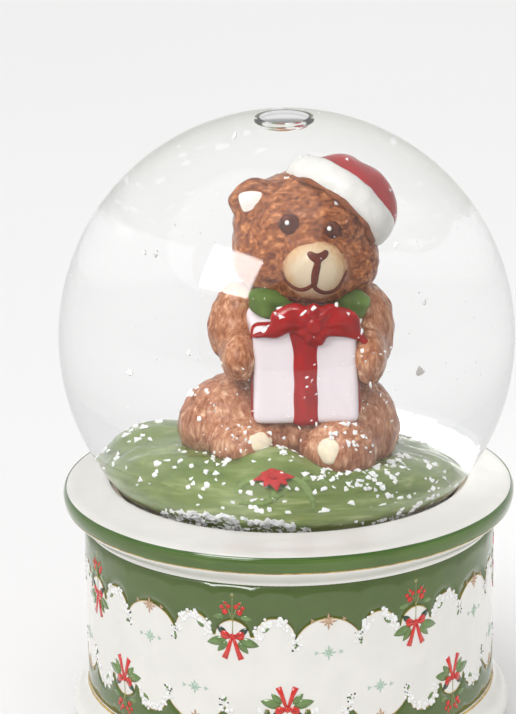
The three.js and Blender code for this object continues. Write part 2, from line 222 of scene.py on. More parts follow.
UNDER_WATER = dict(specular=0.16, coat=0.05)  # a glaze loses most of its gloss in water
FUR_STOPS = [(0.37, srgb(132, 76, 46)), (0.45, srgb(164, 104, 72)), (0.53, srgb(182, 126, 92)),
             (0.59, srgb(202, 152, 118)), (0.67, srgb(226, 188, 158))]
HEAD_STOPS = [(0.38, srgb(98, 46, 22)), (0.46, srgb(132, 71, 34)), (0.53, srgb(155, 90, 48)),
              (0.59, srgb(182, 114, 65)), (0.67, srgb(210, 146, 96))]
MUZZLE_SHADE_AT = (3.3, -9.0, 68.0)
MUZZLE_SHADE_R = 6.0
MUZZLE_STOPS = [(0.15, srgb(214, 198, 174)), (0.55, srgb(206, 186, 156)), (0.74, srgb(198, 160, 118)),
                (0.86, srgb(160, 98, 60))]
MOSS_STOPS = [(0.34, srgb(78, 98, 34)), (0.44, srgb(98, 118, 48)), (0.54, srgb(112, 130, 62)),
              (0.66, srgb(148, 160, 104))]

look_ceramic = glaze("ceramic_white_glaze", srgb(233, 231, 225), 0.03, bump=0.02, bump_size=3.0)
look_band = glaze("printed_green", srgb(82, 103, 48), 0.07)
look_rim = glaze("rim_green_glaze", srgb(80, 106, 44), 0.16, stretch=(2, 2, 0.5))
look_rim_line = glaze("rim_dark_green", srgb(60, 98, 26), 0.15)
look_gold = painted_look(
    "gold_line", [(0.35, srgb(150, 118, 50)), (0.6, srgb(206, 176, 96))], size=1.5,
    rough=(0.2, 0.35), bump=0.004)

look_print_red = glaze("print_red", srgb(214, 50, 42), 0.16, size=0.9)
look_print_deep_red = glaze("print_deep_red", srgb(150, 26, 28), 0.12, size=0.8)
look_print_leaf = glaze("print_leaf", srgb(108, 136, 78), 0.22, size=1.1)
look_print_dark_leaf = glaze("print_dark_leaf", srgb(44, 66, 52), 0.2, size=0.8)
# white of the drum's printed blossom, also used for the painted highlights on the bear's eyes
look_white_print_and_highlight = glaze("white_print_and_highlight", srgb(246, 246, 244), 0.04, size=0.8)
look_print_tan = glaze("print_tan", srgb(196, 160, 128), 0.12, size=0.8)
look_print_pale = glaze("print_pale_green", srgb(178, 204, 184), 0.10, size=0.8)
look_print_stem = glaze("print_stem", srgb(150, 150, 92), 0.12, size=0.8)

look_fur = painted_look(
    "fur_glaze", FUR_STOPS, size=2.4, strokes=(0.42, (1, 1, 3.5), 0.5), distortion=1.8,
    rough=(0.14, 0.3), bump=0.07, bump_size=0.45, **UNDER_WATER)
look_head = painted_look(
    "head_fur_glaze", HEAD_STOPS, size=2.0, strokes=(0.4, (3.0, 1, 1.2), 0.5), distortion=2.0,
    rough=(0.1, 0.2), bump=0.09, bump_size=0.45, **UNDER_WATER)
look_muzzle = muzzle_look()
look_head_edge = glaze("fur_edge_glaze", srgb(134, 76, 44), 0.3, size=0.8, **UNDER_WATER)
look_eye = glaze("eye_glaze", srgb(84, 36, 18), 0.5, size=0.7, rough=(0.03, 0.06), bump=0.001, **UNDER_WATER)
look_line = glaze("face_line_glaze", srgb(96, 40, 26), 0.2, size=0.5, **UNDER_WATER)
look_cream = glaze("cream_glaze", srgb(236, 220, 194), 0.10, size=1.0, **UNDER_WATER)
look_patch = glaze("ear_white_glaze", srgb(242, 238, 230), 0.06, size=0.8, **UNDER_WATER)
look_hat = glaze("hat_red_glaze", srgb(164, 28, 30), 0.22, size=2.5, specular=0.3, coat=0.1)
look_trim = glaze(
    "hat_trim_glaze", srgb(225, 223, 218), 0.03, size=1.5, bump=0.03, bump_size=0.7, **UNDER_WATER)
look_scarf = glaze("scarf_glaze", srgb(92, 116, 50), 0.22, size=1.6, stretch=(1, 1, 3), **UNDER_WATER)
look_paper = glaze(
    "gift_paper_glaze", srgb(229, 218, 222), 0.025, size=3.0, stretch=(1, 1, 4), **UNDER_WATER)
look_ribbon = glaze(
    "ribbon_glaze", srgb(154, 12, 10), 0.25, size=1.3, stretch=(1, 1, 2), specular=0.25, coat=0.05)
look_star = glaze("star_glaze", srgb(186, 34, 30), 0.2, size=0.8, **UNDER_WATER)
look_stem = glaze("leaf_stroke_glaze", srgb(118, 140, 76), 0.15, size=0.7, **UNDER_WATER)
look_moss = painted_look(
    "moss_glaze", MOSS_STOPS, size=3.4, stretch=(3.5, 2.0, 0.8), strokes=(0.8, (6, 3, 1), 0.4),
    distortion=0.7, rough=(0.12, 0.28), bump=0.03, bump_size=0.9, specular=0.25, coat=0.1)
look_snow = painted_look(
    "snow_flakes", [(0.3, srgb(242, 242, 242)), (0.6, srgb(253, 253, 253))], size=0.7,
    rough=(0.45, 0.7), bump=0.02, bump_size=0.25, subsurface=0.5)

look_rubber = painted_look(
    "plug_rubber", [(0.3, srgb(192, 192, 182)), (0.7, srgb(212, 211, 202))], size=2.0,
    rough=(0.6, 0.8), bump=0.03, speckle=(0.4, 0.62, srgb(170, 170, 158)))
look_sealant = painted_look(
    "clear_sealant", [(0.3, srgb(176, 160, 138)), (0.7, srgb(206, 194, 176))], size=1.2,
    rough=(0.25, 0.45), bump=0.04, bump_size=0.8)
look_plaster = painted_look(
    "plaster", [(0.3, srgb(204, 198, 184)), (0.7, srgb(228, 224, 212))], size=2.4,
    rough=(0.8, 0.95), bump=0.08, bump_size=0.5, speckle=(0.5, 0.64, srgb(180, 172, 156)))
look_cover = painted_look(
    "cover_plastic", [(0.3, srgb(206, 204, 198)), (0.7, srgb(222, 220, 215))], size=4.0,
    rough=(0.4, 0.55), bump=0.02, bump_size=0.3)
look_felt = painted_look(
    "green_felt", [(0.3, srgb(42, 66, 36)), (0.7, srgb(76, 104, 62))], size=0.35,
    detail=8.0, rough=(0.9, 1.0), bump=0.12, bump_size=0.25, sheen=0.6)
look_floor = painted_look(
    "floor_paper", [(0.3, srgb(245, 244, 244)), (0.7, srgb(248, 247, 247))], size=400.0,
    rough=(0.7, 0.9), bump=0.0)
look_glass = clear_look("globe_glass", 1.5, (1, 1, 1), 0.004, 0.6)
look_water = clear_look("water", 1.333, (0.995, 1.0, 0.998), 0.002, 0.45)

# ---- making meshes --------------------------------------------------------------------

CORNER_SHARE = 0.45  # the most of a side that the curve at one of its corners takes up


def in_scene(name, data):
    made = bpy.data.objects.new(name, data)
    bpy.context.scene.collection.objects.link(made)
    return made


def piece_of(name, points, faces, material, body="root", slot=None, smooth=True, stands_for=()):
    """A mesh piece from points in millimetres, riding on a body."""
    mesh = bpy.data.meshes.new(name)
    mesh.from_pydata((np.asarray(points, float) * MM).tolist(), [], faces)
    fixed = bmesh.new()
    fixed.from_mesh(mesh)
    bmesh.ops.recalc_face_normals(fixed, faces=fixed.faces)
    fixed.to_mesh(mesh)
    fixed.free()
    mesh.polygons.foreach_set("use_smooth", [smooth] * len(mesh.polygons))
    mesh.materials.append(material)
    piece = in_scene(name, mesh)
    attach(piece, body)
    if stands_for:
        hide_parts(*stands_for)


def placed(points, pose):
    return np.asarray(points) @ np.array(pose.to_3x3()).T + np.array(pose.translation)


def unit(vectors, least=0.0):
    """The vectors at length 1. One that is shorter than least is divided by least instead."""
    return vectors / np.maximum(np.linalg.norm(vectors, axis=1), least)[:, None]


def stacked(x, y, z):
    """Points from three arrays, or from arrays and single numbers."""
    return np.stack(np.broadcast_arrays(x, y, z), 1)


def circle(count):
    """Angles that go once round."""
    return np.linspace(0, 2 * math.pi, count, endpoint=False)


def grid_faces(rings, sides, closed=True):
    """Faces between rings of points in a loop. Closed also joins each ring's own ends."""
    faces = []
    for i in range(rings):
        n = (i + 1) % rings
        for k in range(sides if closed else sides - 1):
            m = (k + 1) % sides
            faces.append([i * sides + k, n * sides + k, n * sides + m, i * sides + m])
    return faces


def points_and_faces(solid):
    """A bmesh's points and faces. It is freed."""
    solid.verts.ensure_lookup_table()
    points = np.array([v.co for v in solid.verts])
    faces = [[v.index for v in f.verts] for f in solid.faces]
    solid.free()
    return points, faces


def merged(lots):
    """Several lots of points and faces as one."""
    points, faces = [], []
    for some_points, some_faces in lots:
        start = len(points)
        points += [tuple(p) for p in some_points]
        faces += [[start + i for i in face] for face in some_faces]
    return points, faces


def rounded(corners, limit=0.6, steps=5, spacing=1.2):
    """An outline with each corner eased into a short curve, and long runs divided."""
    corners = [np.array(c, float) for c in corners]
    count = len(corners)
    path = []
    for i, corner in enumerate(corners):
        before, after = corners[i - 1] - corner, corners[(i + 1) % count] - corner
        near = corner + before * min(CORNER_SHARE, limit / np.linalg.norm(before))
        far = corner + after * min(CORNER_SHARE, limit / np.linalg.norm(after))
        for t in np.linspace(0, 1, steps + 1):
            path.append((1 - t) ** 2 * near + 2 * t * (1 - t) * corner + t * t * far)
    closed = []
    for here, there in zip(path, path[1:] + path[:1]):
        parts = max(1, int(np.linalg.norm(there - here) / spacing))
        closed += [here + (there - here) * k / parts for k in range(parts)]
    return closed


def curve_through(corners, steps=8, closed=True):
    """A smooth line through corners of (x, z)."""
    corners = np.array(corners, float)
    count = len(corners)
    line = []
    for i in range(count if closed else count - 1):
        near = [i + k for k in (-1, 0, 1, 2)]
        a, b, c, d = (corners[k % count if closed else min(max(k, 0), count - 1)] for k in near)
        for t in np.arange(steps) / steps:
            line.append(0.5 * (2 * b + (c - a) * t + (2 * a - 5 * b + 4 * c - d) * t**2
                               + (3 * b - a - 3 * c + d) * t**3))
    if not closed:
        line.append(corners[-1])
    return np.array(line)


def lathe(outline, segments=192, closed=True):
    """Points and faces of an outline of (radius, height) turned about Z. A radius of 0 makes a pole."""
    points, rings, faces = [], [], []
    for radius, z in outline:
        if radius < 1e-6:
            rings.append([len(points)] * segments)
            points.append((0.0, 0.0, z))
        else:
            rings.append(list(range(len(points), len(points) + segments)))
            points += [(radius * math.cos(a), radius * math.sin(a), z) for a in circle(segments)]
    pairs = list(zip(rings, rings[1:] + rings[:1])) if closed else list(zip(rings, rings[1:]))
    for low, high in pairs:
        if low[0] == low[1] and high[0] == high[1]:
            continue
        for k in range(segments):
            n = (k + 1) % segments
            corner = [low[k], low[n], high[n], high[k]]
            faces.append([c for i, c in enumerate(corner) if c not in corner[:i]])
    return points, faces


def arc(radius, start, end, steps):
    """Points of the ball's outline between two angles above its middle, in degrees."""
    return [(max(0.0, radius * math.cos(math.radians(a))), BALL_Z + radius * math.sin(math.radians(a)))
            for a in np.linspace(start, end, steps + 1)]


def tube(line, radii, outward, flat=0.6, sides=10):
    """Points and faces of a tapered, flattened tube along a line of points."""
    line = np.asarray(line, float)
    along = unit(np.gradient(line, axis=0))
    side = unit(np.cross(along, outward))
    up = np.cross(side, along)
    points = [centre + radii[i] * (math.cos(a) * side[i] + flat * math.sin(a) * up[i])
              for i, centre in enumerate(line) for a in circle(sides)]
    faces = []
    for i in range(len(line) - 1):
        for k in range(sides):
            n = (k + 1) % sides
            faces.append([i * sides + k, i * sides + n, (i + 1) * sides + n, (i + 1) * sides + k])
    faces.append(list(range(sides)))
    faces.append(list(range((len(line) - 1) * sides, len(line) * sides)))
    return points, faces


def remeshed(mesh, voxel):
    """Points and faces of a mesh rebuilt from cubes of one size, in the mesh's own units."""
    lump = in_scene("lump", mesh)
    modifier = lump.modifiers.new("even", "REMESH")
    modifier.mode = "VOXEL"
    modifier.voxel_size = voxel
    whole = bpy.data.meshes.new_from_object(lump.evaluated_get(bpy.context.evaluated_depsgraph_get()))
    points = np.empty(len(whole.vertices) * 3)
    whole.vertices.foreach_get("co", points)
    faces = [list(p.vertices) for p in whole.polygons]
    bpy.data.objects.remove(lump)
    bpy.data.meshes.remove(whole)
    return points.reshape(-1, 3), faces


def normals_of(points, faces):
    """Unit normals of a mesh's points."""
    mesh = bpy.data.meshes.new("probe")
    mesh.from_pydata(points.tolist(), [], faces)
    mesh.update()
    flat = np.empty(len(mesh.vertices) * 3, np.float32)
    mesh.vertex_normals.foreach_get("vector", flat)
    bpy.data.meshes.remove(mesh)
    return flat.reshape(-1, 3).astype(float)


def grain(points, size, stretch=(1, 1, 1), seed=0):
    """Smooth random values from -1 to 1 at points, with features of about size."""
    place = np.asarray(points, float) / (size * np.array(stretch)) + seed * 17.3
    cell = np.floor(place)
    t = place - cell
    t = t * t * (3 - 2 * t)
    total = 0.0
    for corner in np.ndindex(2, 2, 2):
        c = cell + corner
        value = np.sin(c[:, 0] * 127.1 + c[:, 1] * 311.7 + c[:, 2] * 74.7 + seed) * 43758.5453
        weight = np.prod(np.where(np.array(corner) == 1, t, 1 - t), axis=1)
        total = total + weight * (value - np.floor(value))
    return 2 * total - 1


def roughened(points, share, size, seed):
    """The points moved sideways, to or from the Z axis, by a share of their radius at most."""
    points = np.array(points)
    points[:, :2] *= (1 + share * grain(points, size, seed=seed))[:, None]
    return points


# ---- shapes of clay -------------------------------------------------------------------

SLOPE_STEP = 0.03
FRONT_Y = -24.0  # in front of everything in the ball


class Clay:
    """Ellipsoids melted into one another. Its value is about the distance to the surface, in millimetres."""

    def __init__(self, balls, melt):
        self.balls = [(np.array(at, float), np.array(radii, float), turn) for at, radii, *turn in balls]
        self.melt = melt

    def turned(self, turn):
        spin = Matrix.Identity(3)
        if turn:
            x, y, z = turn[0]
            spin = Matrix.Rotation(x, 3, "X") @ Matrix.Rotation(y, 3, "Y") @ Matrix.Rotation(z, 3, "Z")
        return np.array(spin)

    def value(self, points):
        total = 0.0
        for at, radii, turn in self.balls:
            place = (points - at) @ self.turned(turn)
            reach = np.linalg.norm(place / radii, axis=1)
            steep = np.linalg.norm(place / radii**2, axis=1) + 1e-9
            total = total + np.exp(np.clip(-reach * (reach - 1) / steep / self.melt, -60, 60))
        return -self.melt * np.log(total + 1e-30)

    def slope(self, points):
        axes = np.eye(3) * SLOPE_STEP
        parts = [self.value(points + a) - self.value(points - a) for a in axes]
        return np.stack(parts, axis=1) / (2 * SLOPE_STEP)

    def outward(self, points):
        return unit(self.slope(points), 1e-6)

    def onto(self, points):
        """The points moved to the surface."""
        for _ in range(4):
            slope = self.slope(points)
            size = np.maximum((slope**2).sum(1), 0.05)
            points = points - slope * np.clip(self.value(points) / size, -0.6, 0.6)[:, None]
        return points

    def from_front(self, places):
        """Where rays along +Y through (x, z) places meet the surface."""
        points = np.array([(x, FRONT_Y, z) for x, z in places], float)
        for _ in range(90):
            points[:, 1] += np.clip(self.value(points), -0.5, 2.0) * 0.8
        return points

    def mesh(self, voxel):
        """Points and faces of the surface."""
        rough = bmesh.new()
        for at, radii, turn in self.balls:
            spin = Matrix(self.turned(turn).tolist()).to_4x4()
            place = Matrix.Translation(at) @ spin @ Matrix.Diagonal((*radii, 1))
            bmesh.ops.create_icosphere(rough, subdivisions=4, radius=1.0, matrix=place)
        mesh = bpy.data.meshes.new("rough")
        rough.to_mesh(mesh)
        rough.free()
        points, faces = remeshed(mesh, voxel)
        return self.onto(points), faces


def sculpt(name, clay, relief, material, slot, voxel, stands_for, pose=Matrix.Identity(4)):
    """A piece of melted ellipsoids with a relief, which is a function of points giving a height."""
    points, faces = clay.mesh(voxel)
    points = points + clay.outward(points) * relief(points)[:, None]
    piece_of(name, placed(points, pose), faces, material, slot=slot, stands_for=stands_for)


def daub(name, clay, corners, material, slot, height=0.12, rings=9):
    """A patch of thick paint on a clay surface, with an outline of (x, z) seen from the front."""
    edge = curve_through(corners)
    middle = edge.mean(0)
    count = len(edge)
    shares = np.linspace(0, 1, rings + 1)[1:]
    points = clay.from_front([middle] + [middle + (p - middle) * s for s in shares for p in edge])
    lift = np.array([height] + [height * (1 - s**6) - 0.05 * s**6 for s in shares for _ in edge])
    points = points + clay.outward(points) * lift[:, None]
    under = points[-count:] - clay.outward(points[-count:]) * 0.3
    base = under.mean(0)[None] + clay.outward(under.mean(0)[None]) * -0.6
    after = [(k + 1) % count for k in range(count)]
    faces = [[0, 1 + k, 1 + n] for k, n in enumerate(after)]
    for r in range(rings - 1):
        low, high = 1 + r * count, 1 + (r + 1) * count
        faces += [[low + k, high + k, high + n, low + n] for k, n in enumerate(after)]
    last = 1 + (rings - 1) * count
    sunk = len(points)
    faces += [[last + k, sunk + k, sunk + n, last + n] for k, n in enumerate(after)]
    faces += [[sunk + k, sunk + count, sunk + n] for k, n in enumerate(after)]
    piece_of(name, np.vstack([points, under, base]), faces, material, slot=slot)


def strokes(name, clay, lines, material, slot):
    """Raised brush lines on a clay surface. Each line is (corners of (x, z), half width)."""
    lots = []
    for corners, width in lines:
        points = clay.from_front(curve_through(corners, 7, closed=False))
        outward = clay.outward(points)
        share = np.linspace(0, 1, len(points))
        radii = width * (0.35 + 0.65 * np.sqrt(np.clip(1 - np.abs(2 * share - 1) ** 3, 0, 1)))
        lots.append(tube(points + outward * 0.16, radii, outward, flat=0.45))
    piece_of(name, *merged(lots), material, slot=slot)


# ---- the ceramic stand ----------------------------------------------------------------

STAND_OUTSIDE = [
    (27.4, FOOT_Z), (30.4, FOOT_Z), (31.1, 1.45), (31.8, 2.0), (32.05, 2.9), (31.75, 3.8), (31.2, 4.7),
    (30.2, 5.4), (29.75, 6.0), (DRUM_R, DRUM_LOW_Z), (DRUM_R, DRUM_HIGH_Z), (29.9, 31.5), (30.7, 32.1),
    (31.9, 33.2), (32.3, 33.9), (RIM_R, 34.8), (32.4, 35.5), (32.0, 36.0), (31.2, 36.25), (29.4, 36.45),
    (27.8, 36.9), (26.6, LIP_Z), (25.95, 37.35), (25.8, 37.0), (26.0, 36.4),
]
STAND_INSIDE = [(26.0, 27.5), (20.0, 27.5), (20.0, 24.5), (25.0, 24.5), (26.0, 23.5), (26.0, 3.1),
                (27.4, 3.1)]
STAND_SEGMENTS = 256
SUNK = -0.05  # the edge of a coat of glaze or print ends just inside the surface
stand_outline = rounded(STAND_OUTSIDE + STAND_INSIDE)


def skin(name, low, high, lift, material, wobble):
    """A thin ring of colour on the stand's outer side, between two heights."""
    path = np.array(sorted((p for p in stand_outline if p[0] > DRUM_R - 0.1 and low <= p[1] <= high),
                           key=lambda p: p[1]))
    heights = np.unique(np.concatenate([[low, high], path[:, 1]]))
    radii = np.interp(heights, path[:, 1], path[:, 0])
    slope = np.gradient(radii, heights)
    along = 1 / np.sqrt(1 + slope**2)
    ring = [(r + lift * a, z - lift * a * s) for r, z, a, s in zip(radii, heights, along, slope)]
    ring = [(radii[0] + SUNK, heights[0])] + ring + [(radii[-1] + SUNK, heights[-1])]
    points, faces = lathe(ring, STAND_SEGMENTS)
    points = np.array(points)
    edge = np.abs(points[:, 2] - points[:, 2].mean()) > 0.4 * (high - low)
    points[:, 2] += np.where(edge, wobble * grain(points * [1, 1, 0], 4.0), 0)
    piece_of(name, points, faces, material, slot="stand_glaze")


piece_of("stand_ceramic", *lathe(stand_outline, STAND_SEGMENTS), look_ceramic, slot="stand_glaze",
         stands_for=["ceramic_stand"])
skin("rim_green_band", 33.75, 35.75, 0.035, look_rim, 0.05)
skin("rim_dark_line", 35.62, 35.93, 0.05, look_rim_line, 0.04)
skin("rim_gold_line", 33.55, 33.78, 0.055, look_gold, 0.02)
skin("foot_gold_line", 6.02, 6.32, 0.055, look_gold, 0.02)

# ---- the print on the drum ------------------------------------------------------------

REPEATS = 7
PITCH = 360 / REPEATS
UPPER_BOW = -16.0  # degrees from the front to one of the upper row's bows
LOWER_BOW = -1.5
MIRROR = 35.9  # the lower row is the upper one at this minus the height
BAND_LOW_Z = 6.3
PRINT_TOP_Z = DRUM_HIGH_Z + 0.02
BAND_COLUMNS = 1260
GOLD_WIDTH = 0.14
PERIOD_MM = math.radians(PITCH) * DRUM_R
SIDE_SCALLOP = 5.9  # from a bow to the scallop beside it
# each scallop of one repeat: its middle along the drum, its middle's height and its radius
SCALLOPS = [(0.0, 23.0, 2.5), (SIDE_SCALLOP, 23.3, 2.75), (-SIDE_SCALLOP, 23.3, 2.75),
            (PERIOD_MM / 2, 20.95, 4.95), (-PERIOD_MM / 2, 20.95, 4.95)]
VALLEY_Z = 23.2
BOW_Z = 23.1
BLOSSOM_Z = 23.4


def on_drum(angle, z, lift):
    a = math.radians(angle)
    return ((DRUM_R + lift) * math.sin(a), -(DRUM_R + lift) * math.cos(a), z)


def upper_edge(along):
    """Height of the upper row's white edge at a distance along the drum from a bow."""
    s = (along + PERIOD_MM / 2) % PERIOD_MM - PERIOD_MM / 2
    best = VALLEY_Z
    for middle, z, radius in SCALLOPS:
        inside = radius**2 - (s - middle) ** 2
        if inside > 0:
            best = max(best, z + math.sqrt(inside))
    return best


def lower_edge(along):
    return MIRROR - upper_edge(along)


def band(name, first_bow, edge_at, far_from, lift, material, rows=3):
    """A closed thin ring on the drum from a scalloped edge to the height that far_from gives for it."""
    points = []
    for angle in 360 * np.arange(BAND_COLUMNS) / BAND_COLUMNS:
        near = edge_at(math.radians(angle - first_bow) * DRUM_R)
        far = far_from(near)
        points.append(on_drum(angle, near, SUNK))
        points += [on_drum(angle, near + (far - near) * r / rows, lift) for r in range(rows + 1)]
        points.append(on_drum(angle, far, SUNK))
    piece_of(name, points, grid_faces(BAND_COLUMNS, rows + 3), material, slot="stand_glaze")


class Transfer:
    """Small printed shapes of one colour, each a low dome on the drum."""

    def __init__(self, name, material, lift):
        self.name, self.material, self.lift = name, material, lift
        self.points, self.faces = [], []

    def shape(self, angle, z, outline, side=1, up=1, dome=0.02):
        """A shape whose outline is (sideways, upwards) from a place on the drum."""
        start = len(self.points)
        outline = np.array(outline, float) * (side, up)
        turn = math.degrees(1 / DRUM_R)
        rows = [(outline.mean(0), self.lift + dome)]
        rows += [(p, self.lift) for p in outline] + [(p, SUNK) for p in outline]
        self.points += [on_drum(angle + p[0] * turn, z + p[1], rise) for p, rise in rows]
        count = len(outline)
        for k in range(count):
            here, there = start + 1 + k, start + 1 + (k + 1) % count
            self.faces += [[start, here, there], [here, here + count, there + count, there]]

    def finish(self):
        piece_of(self.name, self.points, self.faces, self.material, slot="stand_glaze")


def disc(at, radius, count=12, wave=0.0):
    return [(at[0] + radius * (1 + wave * math.sin(5 * a)) * math.cos(a),
             at[1] + radius * (1 + wave * math.sin(5 * a)) * math.sin(a)) for a in circle(count)]


def leaf_shape(at, angle, length, width):
    """A pointed leaf from its stalk, at an angle in degrees above sideways."""
    a = math.radians(angle)
    upper = [(length * t, width * math.sin(math.pi * t**0.8) ** 0.8 / 2) for t in np.linspace(0, 1, 9)]
    lower = [(x, -y) for x, y in upper[-2:0:-1]]
    return [(at[0] + x * math.cos(a) - y * math.sin(a), at[1] + x * math.sin(a) + y * math.cos(a))
            for x, y in upper + lower]


def ribbon_shape(line, widths):
    """A strip of varying width along a line, as an outline."""
    line = np.array(line, float)
    along = unit(np.gradient(line, axis=0))
    side = np.stack([-along[:, 1], along[:, 0]], 1) * np.array(widths)[:, None] / 2
    return list(line + side) + list((line - side)[::-1])


LOOP = [(0.15, 0.1), (0.6, 0.62), (1.15, 0.95), (1.6, 0.85), (1.72, 0.35), (1.5, -0.2), (0.95, -0.35),
        (0.4, -0.2)]
TAIL = ribbon_shape([(0.1, -0.1), (0.45, -1.1), (0.75, -2.1), (1.2, -3.2)], [0.35, 0.55, 0.6, 0.85])
LOOP_FOLD = ribbon_shape([(0.3, 0.12), (0.8, 0.3), (1.35, 0.38)], [0.06, 0.14, 0.05])
TWIG = ribbon_shape([(0.05, 2.6), (0.35, 3.6), (0.7, 4.6), (1.4, 5.3)], [0.12, 0.12, 0.1, 0.08])
STALK = ribbon_shape([(0, 0.5), (0.04, 2.0), (0, 4.0), (0.05, 5.9)], [0.09] * 4)
BERRIES = [((1.05, 3.7), 0.42), ((0.55, 4.5), 0.33), ((1.5, 4.35), 0.3), ((1.0, 4.95), 0.24)]
# each leaf's height on the drum, its stalk, angle, length and width
BOW_LEAVES = [(22.9, (0.9, -0.2), -14, 2.9, 1.35), (22.9, (0.8, -0.5), -48, 2.1, 0.95),
              (27.0, (1.2, -0.9), -8, 1.7, 0.8), (27.0, (0.6, 0.3), 58, 1.4, 0.55)]


def garland(layers, bow_angle, up, height, random):
    """One repeat of the pattern: a bow with leaves and berries, blossom, a scallop's star and pale stars."""
    red, deep, leaf, dark, _, tan, pale, stem = layers
    bow = height(BOW_Z)
    for side in (1, -1):
        red.shape(bow_angle, bow, LOOP, side, up)
        red.shape(bow_angle, bow, TAIL, side, up, dome=0.01)
        deep.shape(bow_angle, bow, LOOP_FOLD, side, up)
        dark.shape(bow_angle, bow, leaf_shape((0.9, 0.4), 38, 1.7, 0.9), side, up)
        stem.shape(bow_angle, bow, TWIG, side, up)
        for at, size in BERRIES:
            red.shape(bow_angle, bow, disc(at, size), side, up, dome=0.04)
        for z, *form in BOW_LEAVES:
            leaf.shape(bow_angle, height(z), leaf_shape(*form), side, up)
        blossom(layers, bow_angle, side, up, height(BLOSSOM_Z), random)
    red.shape(bow_angle, bow, disc((0, 0.12), 0.42), 1, up, dome=0.05)
    stem.shape(bow_angle, bow, STALK, 1, up)
    stem.shape(bow_angle, height(29.3), disc((0, 0), 0.28, wave=0.3), 1, up)
    for layer, z, radius, apart, small_z, small_radius in ((tan, 25.5, 1.25, 4.3, 25.75, 0.4),
                                                           (pale, 20.9, 1.1, 3.3, 20.95, 0.42)):
        star(layer, bow_angle + PITCH / 2, height(z), radius, 8)
        for side in (1, -1):
            star(layer, bow_angle + PITCH / 2 + side * apart, height(small_z), small_radius, 6)


def blossom(layers, bow_angle, side, up, z, random):
    """A spray of small white blossom along the scallop beside a bow, with two leaves and dark buds."""
    _, _, leaf, dark, white, _, _, _ = layers
    for _ in range(46):
        a = math.radians(random.uniform(-12, 192))
        reach = random.uniform(1.7, 3.0)
        at = (SIDE_SCALLOP + reach * math.cos(a), reach * math.sin(a))
        white.shape(bow_angle, z, disc(at, random.uniform(0.18, 0.36), 8), side, up, dome=0.03)
    for layer, count, across, upwards, sizes, corners, dome in (
            (white, 9, (-0.5, 0.7), (-1.9, 0.4), (0.2, 0.3), 8, 0.03),
            (dark, 7, (-0.6, 0.7), (-2.0, 0.2), (0.09, 0.17), 6, 0.02)):
        for _ in range(count):
            at = (SIDE_SCALLOP + 3.0 + random.uniform(*across), random.uniform(*upwards))
            layer.shape(bow_angle, z, disc(at, random.uniform(*sizes), corners), side, up, dome)
    leaf.shape(bow_angle, z, leaf_shape((4.2, 0.7), 40, 1.35, 0.62), side, up)
    leaf.shape(bow_angle, z, leaf_shape((8.6, -1.7), 70, 0.9, 0.4), side, up)


def star(layer, angle, z, radius, arms):
    """A small snow star of thin diamonds about a middle dot."""
    for k in range(arms):
        a = 2 * math.pi * k / arms
        long = radius * (1 if k % 2 == 0 else 0.72)
        tip = np.array((math.cos(a), math.sin(a)))
        across = 0.14 * radius * np.array((-tip[1], tip[0]))
        waist = tip * 0.6 * long
        layer.shape(angle, z, [tip * 0.05 * long, waist + across, tip * long, waist - across], dome=0.005)
    layer.shape(angle, z, disc((0, 0), 0.3 * radius))


def make_print():
    rows = (("upper", UPPER_BOW, upper_edge, PRINT_TOP_Z, GOLD_WIDTH),
            ("lower", LOWER_BOW, lower_edge, BAND_LOW_Z, -GOLD_WIDTH))
    for row, first_bow, edge, far_z, _ in rows:
        band(f"print_{row}_green", first_bow, edge, lambda near: far_z, 0.02, look_band)
    for row, first_bow, edge, _, width in rows:
        band(f"print_{row}_gold", first_bow, edge, lambda near: near + width, 0.035, look_gold, 1)
    kinds = [("print_red_bows", look_print_red, 0.075), ("print_bow_folds", look_print_deep_red, 0.105),
             ("print_leaves", look_print_leaf, 0.055), ("print_dark_leaves", look_print_dark_leaf, 0.06),
             ("print_blossom", look_white_print_and_highlight, 0.05), ("print_tan_stars", look_print_tan, 0.045),
             ("print_pale_stars", look_print_pale, 0.035), ("print_stems", look_print_stem, 0.05)]
    layers = [Transfer(*kind) for kind in kinds]
    random = np.random.default_rng(SEED + 1)
    for k in range(REPEATS):
        garland(layers, UPPER_BOW + k * PITCH, 1, lambda z: z, random)
        garland(layers, LOWER_BOW + k * PITCH, -1, lambda z: MIRROR - z, random)
    for layer in layers:
        layer.finish()


make_print()

# ---- glass and water ------------------------------------------------------------------

BORE_R = BALL_R - GLASS_WALL
WATER_R = BORE_R + 0.03  # wets the glass, so that light passes straight from one into the other
# the bubble's outline, from where it meets the glass to its lowest point
BUBBLE = [(3.35, 0.0), (3.7, -0.35), (3.9, -0.85), (3.95, -1.3), (3.8, -1.8), (3.4, -2.3), (2.7, -2.7),
          (1.8, -2.95), (0.9, -3.06), (0.0, -3.1)]


def wall_at(radius, away):
    """How far from its axis a ball's wall is, at a height away from its middle, or the other way round."""
    return math.sqrt(radius**2 - away**2)


def make_glass():
    bore = NECK_R - GLASS_WALL
    low = NECK_END_Z
    inside = arc(BORE_R, 90, -math.degrees(math.acos(bore / BORE_R)), 90)
    lip = [(0.0, 3.0), (0.0, 1.2), (0.12, 0.5), (0.45, 0.08)]
    neck = [(bore + inset, low + rise) for inset, rise in lip]
    neck += [(NECK_R - inset, low + rise) for inset, rise in reversed(lip)]
    outside = arc(BALL_R, -math.degrees(math.acos(NECK_R / BALL_R)), 90, 96)
    piece_of("glass_ball", *lathe(inside + neck + outside), look_glass, slot="globe_glass",
             stands_for=["glass_globe"])


